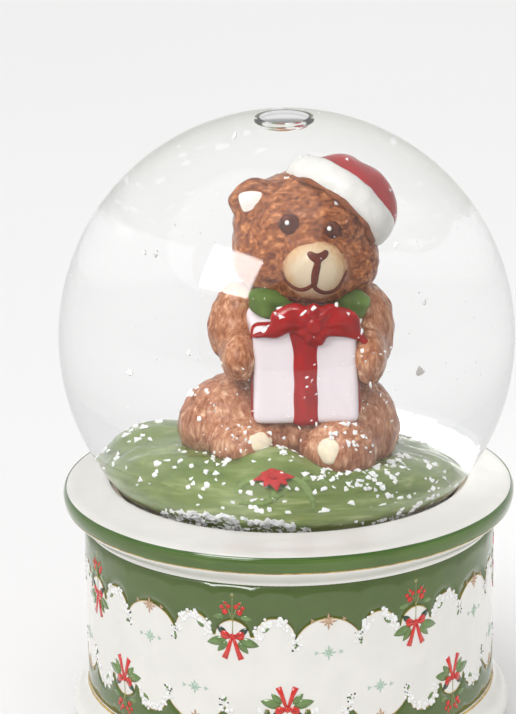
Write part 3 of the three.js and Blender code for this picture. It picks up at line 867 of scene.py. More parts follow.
def make_water():
    low = PLUG_TOP_Z + 0.05
    deep = BALL_Z - low
    contact = BUBBLE[0][0]
    start = -math.degrees(math.asin(deep / WATER_R))
    side = arc(WATER_R, start, math.degrees(math.acos(contact / WATER_R)), 90)
    top = BALL_Z + wall_at(WATER_R, contact)
    dimple = curve_through([(r, top + z) for r, z in BUBBLE], 4, closed=False)
    base = [(r, low) for r in (0.0, 8.0, 16.0, wall_at(WATER_R, deep) - 1.0)]
    outline = base + side + [tuple(p) for p in dimple[1:]]
    piece_of("water_fill", *lathe(outline), look_water, "swirl", "liquid", stands_for=["liquid_fill"])


make_glass()
make_water()

# ---- the bear -------------------------------------------------------------------------

EAR = ((-3.6, -0.6, 73.9), (2.8, 1.5, 2.6), (0, -0.2, 0))
FRONT_EAR = ((-3.6, -0.75, 73.9), *EAR[1:])
HEAD = Clay([
    ((2.1, -0.2, 69.9), (7.9, 6.9, 6.7)),
    ((3.3, -6.2, 67.9), (4.0, 3.7, 3.6)),
    ((4.6, -1.4, 72.2), (5.5, 5.0, 4.2)),
    ((-1.9, -2.6, 67.2), (4.0, 4.0, 3.7)),
    ((6.9, -2.4, 66.8), (3.4, 3.9, 3.5)),
    ((2.8, -4.0, 72.6), (4.2, 2.9, 2.2)),
    ((3.1, -4.6, 65.1), (4.3, 3.3, 2.5)),
    EAR,
], 0.45)
BODY = Clay([
    ((1.7, 1.0, 55.5), (7.4, 5.8, 9.6)),
    ((-5.6, -2.1, 60.0), (2.9, 3.2, 4.5), (0, 0.15, 0)),
    ((-5.3, -6.6, 57.3), (2.2, 4.0, 2.8), (0, 0, -0.1)),
    ((9.0, -2.0, 59.4), (2.7, 3.2, 4.8), (0, -0.1, 0)),
    ((9.1, -6.5, 57.2), (2.05, 4.0, 3.3), (0, 0, 0.1)),
    ((-6.6, -2.4, 49.3), (5.5, 5.4, 4.3), (0, -0.5, 0)),
    ((-4.7, -8.0, 47.3), (4.2, 4.2, 2.8), (0, 0, 0.3)),
    ((7.8, -2.6, 48.5), (4.0, 5.4, 5.1), (0, -0.25, 0)),
    ((5.8, -9.2, 46.5), (4.2, 4.0, 3.9)),
    ((0.6, -4.4, 48.3), (5.6, 4.8, 3.4)),
    ((1.8, 6.4, 49.0), (1.9, 1.7, 1.9)),
], 0.6)
MUZZLE_TIP = np.array((3.3, -8.0, 68.0))
MUZZLE_REACH = 3.2  # the muzzle is smooth this far from its tip
EYES = [(0.45, 73.0), (5.35, 72.3)]
EYE_R = (1.28, 1.08)
EYE_HOLLOW_R = 1.3
EAR_HOLLOW_AT = (-4.2, 73.9)
EAR_HOLLOW_R = (1.4, 1.9)
MUZZLE_AT = (3.3, 67.6)
MUZZLE_R = (4.25, 3.75)
PADS = [("left", (-3.3, 48.3), (1.5, 1.1)), ("right", (4.6, 47.3), (1.35, 1.6))]
# the outlines painted on the head, as (x, z) seen from the front
NOSE = [(2.35, 70.2), (2.75, 70.5), (3.4, 70.3), (4.0, 70.35), (4.6, 70.55), (5.0, 70.25), (4.75, 69.75),
        (4.2, 69.4), (3.85, 68.9), (3.5, 68.9), (3.15, 69.3), (2.65, 69.7)]
MOUTH = [([(3.7, 69.4), (3.5, 68.7), (3.3, 67.8), (3.2, 66.6)], 0.46),
         ([(-0.4, 67.7), (0.05, 66.55), (1.35, 65.85), (2.3, 66.1), (3.1, 66.8)], 0.3),
         ([(3.1, 67.0), (3.4, 66.1), (4.5, 65.4), (5.8, 65.8), (6.9, 67.8)], 0.32)]
EAR_PATCH = [(-5.35, 74.9), (-4.3, 75.5), (-2.8, 75.35), (-2.5, 74.5), (-3.3, 72.9), (-4.2, 71.6),
             (-4.95, 73.2)]


def oval(at, radii, count, wave=0.0):
    """An outline of (x, z) seen from the front, with slightly wavy sides."""
    return [(at[0] + radii[0] * math.cos(a) * (1 + wave * math.sin(3 * a)), at[1] + radii[1] * math.sin(a))
            for a in circle(count)]


def fur(points):
    """Short combed tufts, running down and a little outwards."""
    lean = points + stacked(0.14 * points[:, 2], 0, 0)
    tufts = np.abs(grain(lean, 0.75, (1, 1, 3.2), 3))
    height = 0.24 * (0.4 - tufts) + 0.09 * grain(lean, 0.42, (1, 1, 3.0), 5)
    return height + 0.12 * grain(points, 2.4, seed=8)


def head_fur(points):
    """Tufts swept outwards from the muzzle, with hollows round the eyes and in the ear."""
    away = points - MUZZLE_TIP
    reach = np.linalg.norm(away, axis=1)
    turn = np.arctan2(away[:, 2], away[:, 0]) * 7.0
    swept = stacked(turn, reach * 0.45, away[:, 1] * 0.5)
    height = 0.3 * (0.4 - np.abs(grain(swept, 0.8, seed=4))) + 0.1 * grain(points, 2.0, seed=9)
    height *= 1 - np.exp(-np.maximum(reach - MUZZLE_REACH, 0) ** 2 / 0.8)
    for x, z in EYES:
        gap = np.hypot(points[:, 0] - x, points[:, 2] - z) / EYE_HOLLOW_R
        height -= np.where(points[:, 1] < -2, 0.45 * np.exp(-(gap**2)), 0)
    ear = np.linalg.norm((points[:, [0, 2]] - EAR_HOLLOW_AT) / EAR_HOLLOW_R, axis=1)
    return height - np.where(points[:, 1] < -0.5, 0.5 * np.exp(-(ear**2)), 0)


def make_eyes():
    """Round eyes that stand a little out of the head, each with a painted highlight: a white dot in place of
    the lamp's reflection.
    """
    places = HEAD.from_front(EYES)
    eyes = []
    for spot, radius in zip(places, EYE_R):
        eye = bmesh.new()
        bmesh.ops.create_uvsphere(eye, u_segments=32, v_segments=20, radius=radius)
        points, faces = points_and_faces(eye)
        eyes.append((points * (1, 0.62, 1.05) + spot + (0, 0.42, 0), faces))
    piece_of("bear_eyes", *merged(eyes), look_eye, slot="fur_glaze")
    # painted highlights: a small white dot high on each eye, standing in for the lamp's reflection
    painted_highlights = Clay([(spot + (-0.25 * radius, 0.3 - 0.62 * radius, 0.42 * radius), (0.26, 0.2, 0.3))
                   for spot, radius in zip(places, EYE_R)], 0.1)
    piece_of("bear_eye_painted_highlights", *painted_highlights.mesh(0.07), look_white_print_and_highlight, slot="fur_glaze")


def make_bear():
    sculpt("bear_body_sculpt", BODY, fur, look_fur, "fur_glaze", 0.32, ["bear_body"])
    sculpt("bear_head_sculpt", HEAD, head_fur, look_head, "fur_glaze", 0.26, ["bear_head"])
    daub("bear_muzzle", HEAD, oval(MUZZLE_AT, MUZZLE_R, 15), look_muzzle, "fur_glaze", 0.1, rings=14)
    daub("bear_nose", HEAD, NOSE, look_line, "fur_glaze", 0.42)
    strokes("bear_mouth_lines", HEAD, MOUTH, look_line, "fur_glaze")
    daub("bear_ear_patch", Clay([FRONT_EAR], 0.5), EAR_PATCH, look_patch, "white_glaze")
    make_eyes()
    for side, at, radii in PADS:
        daub(f"bear_{side}_pad", BODY, oval(at, radii, 12, wave=0.08), look_cream, "fur_glaze", 0.14)


make_bear()

# ---- hat ------------------------------------------------------------------------------

HAT_POSE = (Matrix.Translation((6.1, 0, 73.4)) @ Matrix.Rotation(-0.9, 4, "X")
            @ Matrix.Rotation(math.radians(36), 4, "Y"))
CROWN = Clay([((0.5, 0.1, 0.9), (6.0, 5.4, 4.7)), ((1.8, 2.4, 1.8), (3.9, 3.6, 3.2)),
              ((2.5, 4.6, 1.5), (2.3, 2.6, 2.6))], 0.5)
POMPOM = Clay([((8.4, 6.7, 69.0), (1.9, 1.9, 1.9))], 0.5)
TRIM_R = 5.55
TRIM_THICK = (1.5, 1.9)  # half the roll's thickness, outwards and upwards
TRIM_RISE = 0.1
TRIM_DEPTH = 0.9  # the trim's front-to-back size as a share of its width
TRIM_AROUND = 220
TRIM_ACROSS = 40
RIDGE_POINTS = 160
RIDGE_R = 5.75
RIDGE_Z = -1.75


def hat_folds(points):
    around = np.arctan2(points[:, 1] - 2, points[:, 0])
    folds = 0.16 * np.sin(5 * around + 1.2 * points[:, 2]) * np.clip(points[:, 2] / 5, 0, 1)
    return folds + 0.05 * grain(points, 1.2, seed=2)


def fluff(points):
    return 0.16 * np.abs(grain(points, 0.55, seed=3)) - 0.05


def make_trim():
    """The thick white roll round the hat's edge."""
    angles = np.meshgrid(circle(TRIM_AROUND), circle(TRIM_ACROSS), indexing="ij")
    around, across = (grid.ravel() for grid in angles)
    ring = TRIM_R + TRIM_THICK[0] * np.cos(across)
    height = TRIM_RISE + TRIM_THICK[1] * np.sin(across)
    place = stacked(ring * np.cos(around), TRIM_DEPTH * ring * np.sin(around), height)
    core = stacked(TRIM_R * np.cos(around), 5.0 * np.sin(around), 0)
    rise = 0.12 * grain(place, 1.5, seed=6) + 0.07 * np.abs(grain(place, 0.6, seed=7))
    place = place + unit(place - core) * rise[:, None]
    piece_of("hat_trim_roll", placed(place, HAT_POSE), grid_faces(TRIM_AROUND, TRIM_ACROSS), look_trim,
             slot="white_glaze", stands_for=["hat_trim"])


def make_ridge():
    """A thin ridge of fur where the trim meets the head."""
    a = np.linspace(0, 2 * math.pi, RIDGE_POINTS)
    r = RIDGE_R + 0.1 * np.sin(9 * a)
    height = RIDGE_Z + 0.1 * np.sin(14 * a)
    line = placed(stacked(r * np.cos(a), TRIM_DEPTH * r * np.sin(a), height), HAT_POSE)
    thick = 0.42 + 0.12 * grain(line, 1.0, seed=4)
    outward = np.tile((0.5, 0.4, 0.7), (RIDGE_POINTS, 1))
    piece_of("fur_under_hat", *tube(line, thick, outward, flat=1.0), look_head_edge, slot="fur_glaze")


sculpt("hat_crown_sculpt", CROWN, hat_folds, look_hat, "hat_red_glaze", 0.3, ["hat_crown"], HAT_POSE)
make_trim()
make_ridge()
sculpt("hat_pompom_ball", POMPOM, fluff, look_trim, "white_glaze", 0.2, ["hat_pompom"])

# ---- scarf, present, ribbon and bow ---------------------------------------------------

SCARF_FRONT_Y = -3.6  # the ring is flattened here, behind the present
LAPELS = [((-1.9, -5.6, 63.1), (2.6, 1.5, 1.85), (0, 0.4, 0)),
          ((7.1, -5.3, 62.6), (2.4, 1.5, 1.9), (0, -0.5, 0))]
GIFT_SIZE = np.array((11.8, 5.4, 11.2))
GIFT_AT = (2.0, -6.9, 55.5)
GIFT_POSE = Matrix.Translation(GIFT_AT) @ Matrix.Rotation(math.radians(-5), 4, "X")
BOX_CUTS = 26
CROSSWISE_Y = 0.3  # how far behind the box's middle the crossways ribbon runs
RIBBON_COLUMNS = 7
RIBBON_ROUND = 0.8  # how far a bend of the ribbon reaches from the box's edge
KNOT = (3.1, 61.6)
BOW = Clay([
    ((3.1, -9.5, 61.6), (1.8, 1.1, 2.5)),
    ((0.9, -9.3, 62.4), (2.7, 1.1, 1.7), (0, 0.12, 0)),
    ((5.6, -9.2, 62.1), (2.7, 1.1, 1.8), (0, 0.2, 0)),
    ((-1.0, -9.4, 61.2), (1.5, 0.8, 0.85), (0, -0.5, 0)),
    ((-2.7, -9.3, 60.6), (1.6, 0.6, 0.42), (0, -0.2, 0)),
    ((7.2, -9.2, 61.0), (1.5, 0.8, 0.85), (0, 0.6, 0)),
    ((8.5, -8.8, 59.9), (1.4, 0.6, 0.4), (0, 0.85, 0)),
], 0.3)


def creases(points):
    return 0.12 * np.sin(3.1 * points[:, 2] + 0.8 * points[:, 0]) + 0.05 * grain(points, 0.8, seed=2)


def pleats(points):
    around = np.arctan2(points[:, 2] - KNOT[1], points[:, 0] - KNOT[0])
    reach = np.hypot(points[:, 2] - KNOT[1], points[:, 0] - KNOT[0])
    folds = 0.11 * np.sin(9 * around) * np.clip(reach / 2, 0, 1)
    return folds - 0.25 * np.exp(-((reach - 1.1) / 0.25) ** 2) + 0.05 * grain(points, 0.8, seed=4)


def make_scarf():
    ring = []
    for a in circle(18):
        x, y, z = Matrix.Rotation(0.2, 3, "X") @ Vector((5.3 * math.cos(a), 5.2 * math.sin(a), 0))
        ring.append(((x + 2.5, max(y, SCARF_FRONT_Y) - 0.2, z + 63.0), (1.5, 1.5, 1.25)))
    scarf = Clay(ring + LAPELS, 0.35)
    sculpt("scarf_sculpt", scarf, creases, look_scarf, "scarf_glaze", 0.28, ["neck_scarf"])


def soft_box(size, bevel, wave, seed):
    """A box with eased edges and slightly uneven sides, in its own frame."""
    half = np.array(size) / 2
    box = bmesh.new()
    bmesh.ops.create_cube(box, size=2.0)
    bmesh.ops.subdivide_edges(box, edges=box.edges, cuts=BOX_CUTS, use_grid_fill=True)
    cube, faces = points_and_faces(box)
    points = cube * half
    inner = np.clip(points, -(half - bevel), half - bevel)
    away = points - inner
    reach = np.linalg.norm(away, axis=1)
    points = inner + unit(away, 1e-6) * np.minimum(reach, bevel)[:, None]
    return points + unit(points) * (wave * grain(points, 2.6, seed=seed))[:, None], faces


def upright_width(height):
    """The ribbon over the front widens towards the bow, and a little at its foot."""
    flare = 1.0 + 0.42 * np.clip((height - 1.5) / 4, 0, 1) ** 1.5 + 0.12 * np.clip((-height - 3) / 3, 0, 1)
    return 2.7 * flare + 0.12 * math.sin(1.7 * height)


def crossways_width(height):
    return 1.4 + 0.1 * math.sin(1.3 * height + 1)


def crossways_shift(height):
    """The crossways ribbon comes forward over the top, to meet the bow."""
    return CROSSWISE_Y - 1.2 * min(max((height - 3) / 2, 0), 1)


def ribbon_loop(half_wide, half_tall, thick, width_at, shift_at):
    """A ribbon round the box, as rows of (along, across, height)."""
    half = np.array((half_wide, half_tall))
    corners = [half * way for way in ((-1, -1), (1, -1), (1, 1), (-1, 1))]
    line = np.array(rounded(corners, limit=RIBBON_ROUND, steps=6, spacing=0.5))
    outward = unit(line - np.clip(line, RIBBON_ROUND - half, half - RIBBON_ROUND), 1e-6)
    points = []
    for (along, height), (out, over) in zip(line, outward):
        for share in np.linspace(-1, 1, RIBBON_COLUMNS + 1):
            rise = thick * (1 - abs(share) ** 5) - 0.05
            across = width_at(height) / 2 * share + shift_at(height)
            points.append((along + out * rise, across, height + over * rise))
    return np.array(points), grid_faces(len(line), RIBBON_COLUMNS + 1, closed=False)


def make_present():
    points, faces = soft_box(GIFT_SIZE, 0.7, 0.07, 5)
    top_back = np.clip((points[:, 1] + 1.2) / 3, 0, 1) * np.clip((points[:, 2] - 2.5) / 3, 0, 1)
    points[:, 2] += 1.3 * top_back
    points[:, 0] *= 1 + 0.14 * top_back
    piece_of("present_box", placed(points, GIFT_POSE), faces, look_paper, slot="gift_glaze",
             stands_for=["gift_box"])
    x, y, z = GIFT_SIZE / 2 + 0.02
    upright, upright_faces = ribbon_loop(y, z, 0.4, upright_width, lambda height: 0)
    crossways = ribbon_loop(x, z, 0.25, crossways_width, crossways_shift)
    points, faces = merged([(upright[:, [1, 0, 2]], upright_faces), crossways])
    piece_of("present_ribbon", placed(points, GIFT_POSE), faces, look_ribbon, slot="red_glaze",
             stands_for=["gift_ribbon"])
    sculpt("present_bow", BOW, pleats, look_ribbon, "red_glaze", 0.22, ["gift_bow"])


make_scarf()
make_present()

# ---- the mound ------------------------------------------------------------------------

SKIRT_RISE = 3.2  # height over which the glaze of the mound spreads out at its foot
SKIRT_SPREAD = 1.9
SKIRT_START_R = 17
# each bump's x, y, spread and rise
MOUND_BUMPS = [(-1.6, -13.4, 3.0, 2.6), (9.0, -12.0, 2.5, 0.5), (-9.0, -10.0, 3.0, 0.5)]
# glaze that runs down beside the plug, as (radius, height)
GROOVE = [(22.65, 36.9), (22.95, 36.9), (23.3, 37.4), (23.75, 38.0), (24.05, 38.5), (24.0, 38.9),
          (23.2, 39.4), (22.0, 40.0), (21.0, 40.4), (20.6, 38.1), (22.65, 38.1)]
DROP_FROM_Z = 84.0  # above the hat
STAR_POSE = Matrix.Translation((-1.9, -17.1, 44.5)) @ Matrix.Rotation(0.54, 4, "X")
# seen from above, as (x, y)
LEAF_STROKES = [
    [(-0.6, -17.0), (1.2, -17.2), (2.6, -18.6), (3.0, -19.8)], [(1.2, -17.2), (3.0, -16.2), (4.6, -16.4)],
    [(-3.4, -17.3), (-5.4, -17.0), (-6.8, -17.8)], [(-1.6, -18.2), (-2.4, -19.6)],
    [(0.2, -18.0), (-3.0, -19.4), (-6.4, -18.9)],
]


def surface_of(*names):
    """A tree of the named objects' faces, to find heights on, in metres."""
    points, faces = [], []
    for name in names:
        mesh = bpy.data.objects[name].data
        start = len(points)
        points += [v.co.copy() for v in mesh.vertices]
        faces += [[start + i for i in p.vertices] for p in mesh.polygons]
    return BVHTree.FromPolygons(points, faces)


def drop(tree, x, y):
    """The highest place of a surface under (x, y), with its normal, in millimetres."""
    hit, normal, _, _ = tree.ray_cast(Vector((x, y, DROP_FROM_Z)) * MM, Vector((0, 0, -1)))
    return (None, None) if hit is None else (np.array(hit) / MM, np.array(normal))


def evened(points, faces, rounds, keep_below):
    """The points moved towards their neighbours' mean. Those below a height stay."""
    links = np.array([edge for face in faces for edge in zip(face, face[1:] + face[:1])])
    links = np.vstack([links, links[:, ::-1]])
    count = np.bincount(links[:, 0], minlength=len(points))
    for _ in range(rounds):
        total = np.stack([np.bincount(links[:, 0], weights=points[links[:, 1], k], minlength=len(points))
                          for k in range(3)], 1)
        moved = 0.35 * points + 0.65 * total / count[:, None]
        points = np.where((points[:, 2] > keep_below)[:, None], moved, points)
    return points


def make_mound():
    points, faces = remeshed(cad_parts["mound"].data.copy(), 0.42 * MM)
    points = points / MM
    low = points[:, 2].min()
    points = evened(points, faces, 14, low + 0.25)
    reach = np.hypot(points[:, 0], points[:, 1])
    height = (points[:, 2] - low) / SKIRT_RISE
    flare = np.where(reach > SKIRT_START_R, SKIRT_SPREAD * np.clip(1 - height, 0, 1) ** 2, 0)
    points[:, :2] *= (1 + flare / np.maximum(reach, 1))[:, None]
    for x, y, wide, rise in MOUND_BUMPS:
        away = (points[:, 0] - x) ** 2 + (points[:, 1] - y) ** 2
        points[:, 2] += np.where(points[:, 2] > low + 3, rise * np.exp(-away / (2 * wide**2)), 0)
    sweep = points + stacked(0, 0.3 * points[:, 0], 0)
    relief = 0.16 * grain(sweep, 1.5, (5, 2, 1), 1) + 0.08 * grain(sweep, 0.6, (6, 2, 1), 2)
    relief = np.where(points[:, 2] > low + 0.5, relief, 0)
    points = points + normals_of(points, faces) * relief[:, None]
    piece_of("mound_ground", points, faces, look_moss, slot="moss_glaze", stands_for=["mound"])
    points, faces = lathe(rounded(GROOVE, limit=0.3, spacing=0.6), STAND_SEGMENTS)
    piece_of("mound_foot", roughened(points, 0.004, 2.0, 3), faces, look_moss, slot="moss_glaze")


def make_poinsettia():
    """Eight pointed petals round a knob of a centre, lying on the mound."""
    shares = np.linspace(0, 1, 9)
    half = 0.7 * np.sin(math.pi * np.clip(shares, 0.03, 0.985) ** 0.75) + 0.02
    lots = []
    for k, a in enumerate(circle(8) + 0.12):
        long = 2.6 if k % 2 == 0 else 2.1
        middle = stacked(long * shares * math.cos(a), long * shares * math.sin(a),
                         0.3 + 0.3 * np.sin(math.pi * shares))
        lots.append(tube(middle, half, np.tile((0.0, 0.0, 1.0), (len(shares), 1)), flat=0.32, sides=12))
    knob = bmesh.new()
    bmesh.ops.create_icosphere(knob, subdivisions=3, radius=0.5)
    points, faces = points_and_faces(knob)
    points, faces = merged(lots + [(points * (1, 1, 0.7) + (0, 0, 0.6), faces)])
    piece_of("poinsettia_petals", placed(points, STAR_POSE), faces, look_star, slot="red_glaze",
             stands_for=["poinsettia"])


def make_leaf_strokes():
    """Low pale leaf strokes that run over the mound from the flower."""
    ground = surface_of("mound_ground")
    lots = []
    for corners in LEAF_STROKES:
        spots = [drop(ground, x, y) for x, y in curve_through(corners, 7, closed=False)]
        spots = [(place, normal) for place, normal in spots if place is not None]
        line, up = (np.array(column) for column in zip(*spots))
        share = np.linspace(0, 1, len(line))
        lots.append(tube(line + 0.02 * up, 0.08 + 0.42 * np.sin(math.pi * share) ** 0.8, up, flat=0.3))
    piece_of("mound_leaf_strokes", *merged(lots), look_stem, slot="moss_glaze")


make_mound()
make_poinsettia()
make_leaf_strokes()

# ---- snow -----------------------------------------------------------------------------

HEAP_LOW_Z = 37.0
HEAPS = [("front", 221, 276, 360), ("right", 298, 350, 110), ("back", 85, 180, 170)]  # degrees, and flakes
LAP_Z = 53  # below this, snow lies on the mound and on the bear's feet
FLOATING_FLAKES = 12


def chip(random, size):
    """One irregular flat flake, in its own frame."""
    count = random.integers(5, 8)
    angles = np.sort(random.uniform(0, 2 * math.pi, count) * 0.35 + np.arange(count) * 2 * math.pi / count)
    reach = size / 2 * random.uniform(0.65, 1.15, count)
    outline = np.stack([reach * np.cos(angles), reach * np.sin(angles) * random.uniform(0.75, 1.0)], 1)
    thick = size * random.uniform(0.14, 0.26)
    layers = [(0.72, thick / 2), (1.0, thick * 0.2), (1.0, -thick * 0.2), (0.72, -thick / 2)]
    points = [(*(p * s), z + 0.036 * size * random.uniform(-1, 1) * s) for s, z in layers for p in outline]
    faces = []
    for start in range(0, 3 * count, count):
        for k in range(count):
            here, there = start + k, start + (k + 1) % count
            faces.append([here, there, there + count, here + count])
    faces += [list(range(count)), list(range(3 * count, 4 * count))]
    return np.array(points), faces


def lay(random, spot, normal, size, lift=0.3, tilt=0.35):
    """A flake lying on a surface, turned at random about its normal."""
    points, faces = chip(random, size)
    lean = Vector(normal) + Vector(random.uniform(-tilt, tilt, 3)) + Vector((0, -0.35, 0))
    turn = lean.to_track_quat("Z", "Y").to_matrix() @ Matrix.Rotation(random.uniform(0, 2 * math.pi), 3, "Z")
    return points @ np.array(turn).T + spot + np.array(normal) * size * 0.16 * lift, faces


def ball_room(x, y, z):
    """How far a place is inside the bore of the ball."""
    return BORE_R - math.sqrt(x * x + y * y + (z - BALL_Z) ** 2)


def scatter(tree, random, count, spread, size, keep):
    """Flakes dropped onto a surface where spread puts them and keep allows."""
    flakes = []
    tries = 0
    while len(flakes) < count and tries < 40 * count:
        tries += 1
        spot, normal = drop(tree, *spread(random))
        if spot is None or normal[2] < 0.15 or not keep(spot) or ball_room(*spot) < 0.8:
            continue
        flakes.append(lay(random, spot, normal, random.uniform(*size)))
    return flakes


def on_ring(random, degrees, radii):
    """A random place over a part of a ring, as (x, y)."""
    a = math.radians(random.uniform(*degrees))
    r = random.uniform(*radii)
    return r * math.cos(a), r * math.sin(a)


def ring_spread(low_deg, high_deg, low_r, high_r):
    return lambda random: on_ring(random, (low_deg, high_deg), (low_r, high_r))


def box_spread(x0, x1, y0, y1):
    return lambda random: (random.uniform(x0, x1), random.uniform(y0, y1))


def snow_piece(name, flakes, body="root", stands_for=()):
    piece_of(name, *merged(flakes), look_snow, body, "snow", False, stands_for)


def make_settled_snow(random):
    tree = surface_of("mound_ground", "bear_body_sculpt", "present_box", "present_bow", "present_ribbon",
                      "bear_head_sculpt", "hat_trim_roll", "hat_crown_sculpt")

    def low(p):
        return p[2] < LAP_Z

    def beside(p):
        """Low, and mostly not over the flower and the middle of the mound."""
        return low(p) and (abs(p[0] + 2) > 5 or p[1] < -17 or random.uniform() < 0.25)

    # how many flakes, where, between which sizes, and which places count
    places = [(30, box_spread(-12, 2, -12, -1), (0.4, 0.9), low),
              (58, box_spread(-2, 13, -16, -3), (0.4, 1.1), beside),
              (38, ring_spread(228, 272, 14, 21), (0.6, 1.4), beside),
              (40, ring_spread(272, 315, 14, 21), (0.6, 1.4), beside),
              (44, ring_spread(300, 350, 12, 21), (0.5, 1.3), low),
              (14, ring_spread(190, 230, 13, 21), (0.5, 1.2), low),
              (30, ring_spread(140, 190, 14, 20), (0.5, 1.2), low),
              (50, ring_spread(20, 140, 10, 21), (0.5, 1.2), low),
              (16, box_spread(-3, 9, -11, -8), (0.5, 1.1), lambda p: LAP_Z < p[2] < 66),
              (12, box_spread(-8, 13, -6, 8), (0.3, 0.7), lambda p: p[2] > 58)]
    snow_piece("snow_settled", [flake for place in places for flake in scatter(tree, random, *place)])


def against_glass(random, a, z, gap, size):
    """A flake leaning on the inside of the glass."""
    r = wall_at(BORE_R, BALL_Z - z) - random.uniform(*gap)
    outward = (math.cos(a), math.sin(a), 0.35)
    return lay(random, (r * math.cos(a), r * math.sin(a), z), outward, random.uniform(*size), tilt=0.45)


def make_heaps(random):
    """The heaps of flakes low against the glass, and the thin line of them all the way round."""
    for side, start, end, count in HEAPS:
        heap = []
        for _ in range(count):
            share = random.uniform(0, 1)
            tall = 0.8 + 2.1 * math.sin(math.pi * share) ** 0.7
            z = HEAP_LOW_Z + random.uniform(0, 1) ** 1.3 * tall
            a = math.radians(start + (end - start) * share)
            heap.append(against_glass(random, a, z, (0.4, 1.0), (0.8, 1.5)))
        snow_piece(f"snow_heap_{side}", heap, stands_for=[f"snow_drift_{side}"])
    line = []
    for _ in range(150):
        a = random.uniform(0, 2 * math.pi)
        z = HEAP_LOW_Z + random.uniform(0, 1.6)
        line.append(against_glass(random, a, z, (0.4, 0.8), (0.7, 1.4)))
    snow_piece("snow_groove", line)


def make_floating_snow(random):
    for k in range(1, FLOATING_FLAKES + 1):
        node = f"snow_flake_{k:02d}"
        middle = sum(np.array(corner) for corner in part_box(node)) / 2 / MM
        flake = lay(random, middle, random.uniform(-1, 1, 3) + (0, 0, 0.01), 1.1, lift=0)
        snow_piece(f"floating_flake_{k:02d}", [flake], "swirl", [node])
    specks = []
    for total, degrees, radii, heights, least, size in (
            (130, (0, 360), (16.5, 28), (50, 82), 1.0, (0.14, 0.34)),
            (205, (235, 318), (16.5, 20), (47, 60), 0.0, (0.25, 0.62))):
        while len(specks) < total:
            spot = np.array((*on_ring(random, degrees, radii), random.uniform(*heights)))
            if ball_room(*spot) > least:
                specks.append(lay(random, spot, random.uniform(-1, 1, 3), random.uniform(*size), lift=0))
    snow_piece("floating_specks", specks, "swirl")


snow_random = np.random.default_rng(SEED + 2)
make_settled_snow(snow_random)
make_heaps(snow_random)
make_floating_snow(snow_random)

# ---- pieces kept from the frame, and the felt -----------------------------------------

for node_name, look in (("rubber_plug", look_rubber), ("sealant_ring", look_sealant),
                        ("potting_fill", look_plaster), ("bottom_cover", look_cover)):
    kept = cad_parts[node_name]
    kept.data.materials.clear()
    kept.data.materials.append(look)


def make_felt():
    """A felt disc with a soft, slightly frayed edge."""
    inner = np.linspace(0, FELT_R - 0.35, 26)
    edge = [(FELT_R - 0.1, 0.08), (FELT_R, 0.3), (FELT_R, 0.6), (FELT_R - 0.1, 0.82)]
    outline = [(r, 0.0) for r in inner] + edge + [(r, FELT_TOP_Z) for r in inner[::-1]]
    points, faces = lathe(outline, 220, closed=False)
    points = np.array(points)
    frayed = np.hypot(points[:, 0], points[:, 1]) > FELT_R - 0.4
    points[frayed] = roughened(points, 0.0035, 0.5, 1)[frayed]
    under = points[:, 2] < 0.05
    points[:, 2] += np.where(under, 0.04 * (1 + grain(points, 0.8, seed=2)) / 2, 0)
    piece_of("felt_base", points, faces, look_felt, slot="felt", stands_for=["felt_pad"])


make_felt()

# ---- floor, light and camera ----------------------------------------------------------

FLOOR_HALF = 6.0  # metres, as are the lamps' and the camera's places
WINDOW = (-0.44, -0.56, 0.70)
SKY = (-0.35, -0.25, 1.0)
TILT = math.radians(17.19)
ROLL = math.radians(-0.83)
TARGET = Vector((-0.00412, 0, 0.05443))
DISTANCE = 0.4409
SENSOR = 36.0
FOCAL = 155.63


def make_floor():
    mesh = bpy.data.meshes.new("floor")
    corners = [(x * FLOOR_HALF, y * FLOOR_HALF, 0) for x, y in ((-1, -1), (1, -1), (1, 1), (-1, 1))]
    mesh.from_pydata(corners, [], [(0, 1, 2, 3)])
    mesh.materials.append(look_floor)
    floor = in_scene("floor", mesh)


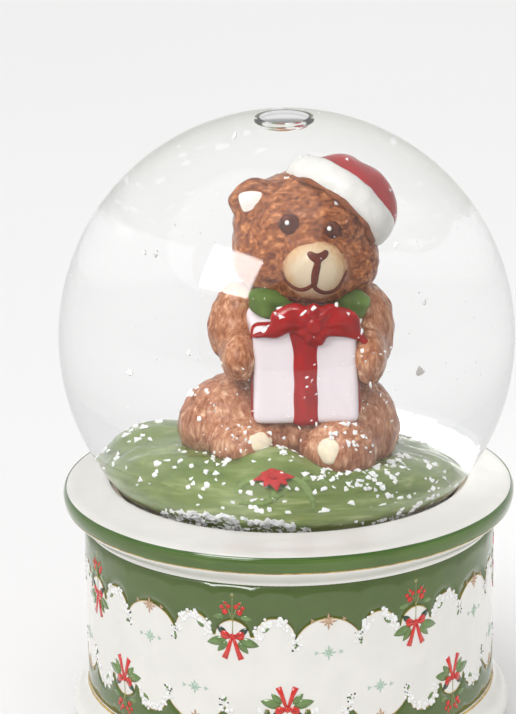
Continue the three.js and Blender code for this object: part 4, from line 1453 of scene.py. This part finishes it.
def lamp(name, towards, distance, wide, tall, power, hidden_from):
    """A soft rectangular lamp that faces the ball's middle."""
    light = bpy.data.lights.new(name, "AREA")
    light.shape = "RECTANGLE"
    light.size = wide
    light.size_y = tall
    light.energy = power
    made = in_scene(name, light)
    direction = Vector(towards).normalized()
    made.location = Vector((0, 0, BALL_Z * MM)) + direction * distance
    made.rotation_euler = direction.to_track_quat("Z", "Y").to_euler()
    for rays in hidden_from:
        setattr(made, f"visible_{rays}", False)


def make_lights():
    lamp("window_lamp", WINDOW, 0.7, 0.31, 0.25, 1.0, ())
    lamp("window_gleam", WINDOW, 0.702, 0.31, 0.25, 2.0, ("diffuse",))
    lamp("front_fill", (0.45, -0.85, 0.2), 0.9, 0.7, 0.5, 1.2, ("glossy", "transmission", "camera"))
    sky = bpy.data.lights.new("overhead_light", "SUN")
    sky.energy = 0.65
    sky.angle = math.radians(70)
    in_scene("overhead_light", sky).rotation_euler = Vector(SKY).to_track_quat("Z", "Y").to_euler()


def make_world():
    """White light all round, dimmer towards the front."""
    world = bpy.data.worlds.new("studio")
    bpy.context.scene.world = world
    world.use_nodes = True
    nodes = world.node_tree.nodes
    background = nodes["Background"]
    background.inputs["Color"].default_value = (1, 1, 1, 1)
    direction = nodes.new("ShaderNodeTexCoord")
    axes = nodes.new("ShaderNodeSeparateXYZ")
    fade = nodes.new("ShaderNodeMapRange")
    for socket, number in zip(fade.inputs[1:5], (-1.0, -0.1, 0.38, 0.8)):
        socket.default_value = number
    for source, socket in ((direction.outputs["Generated"], axes.inputs[0]),
                           (axes.outputs["Y"], fade.inputs["Value"]),
                           (fade.outputs["Result"], background.inputs["Strength"])):
        world.node_tree.links.new(source, socket)
    bpy.context.scene.view_settings.view_transform = "Standard"


def make_camera():
    camera = bpy.data.cameras.new("camera")
    camera.sensor_width = SENSOR
    camera.lens = FOCAL
    camera.clip_start = 0.01
    made = in_scene("camera", camera)
    back = Vector((0, -math.cos(TILT), math.sin(TILT)))
    made.matrix_world = (Matrix.Translation(TARGET + back * DISTANCE)
                         @ Matrix.Rotation(math.radians(90) - TILT, 4, "X") @ Matrix.Rotation(ROLL, 4, "Z"))
    bpy.context.scene.camera = made


make_floor()
make_lights()
make_world()
make_camera()
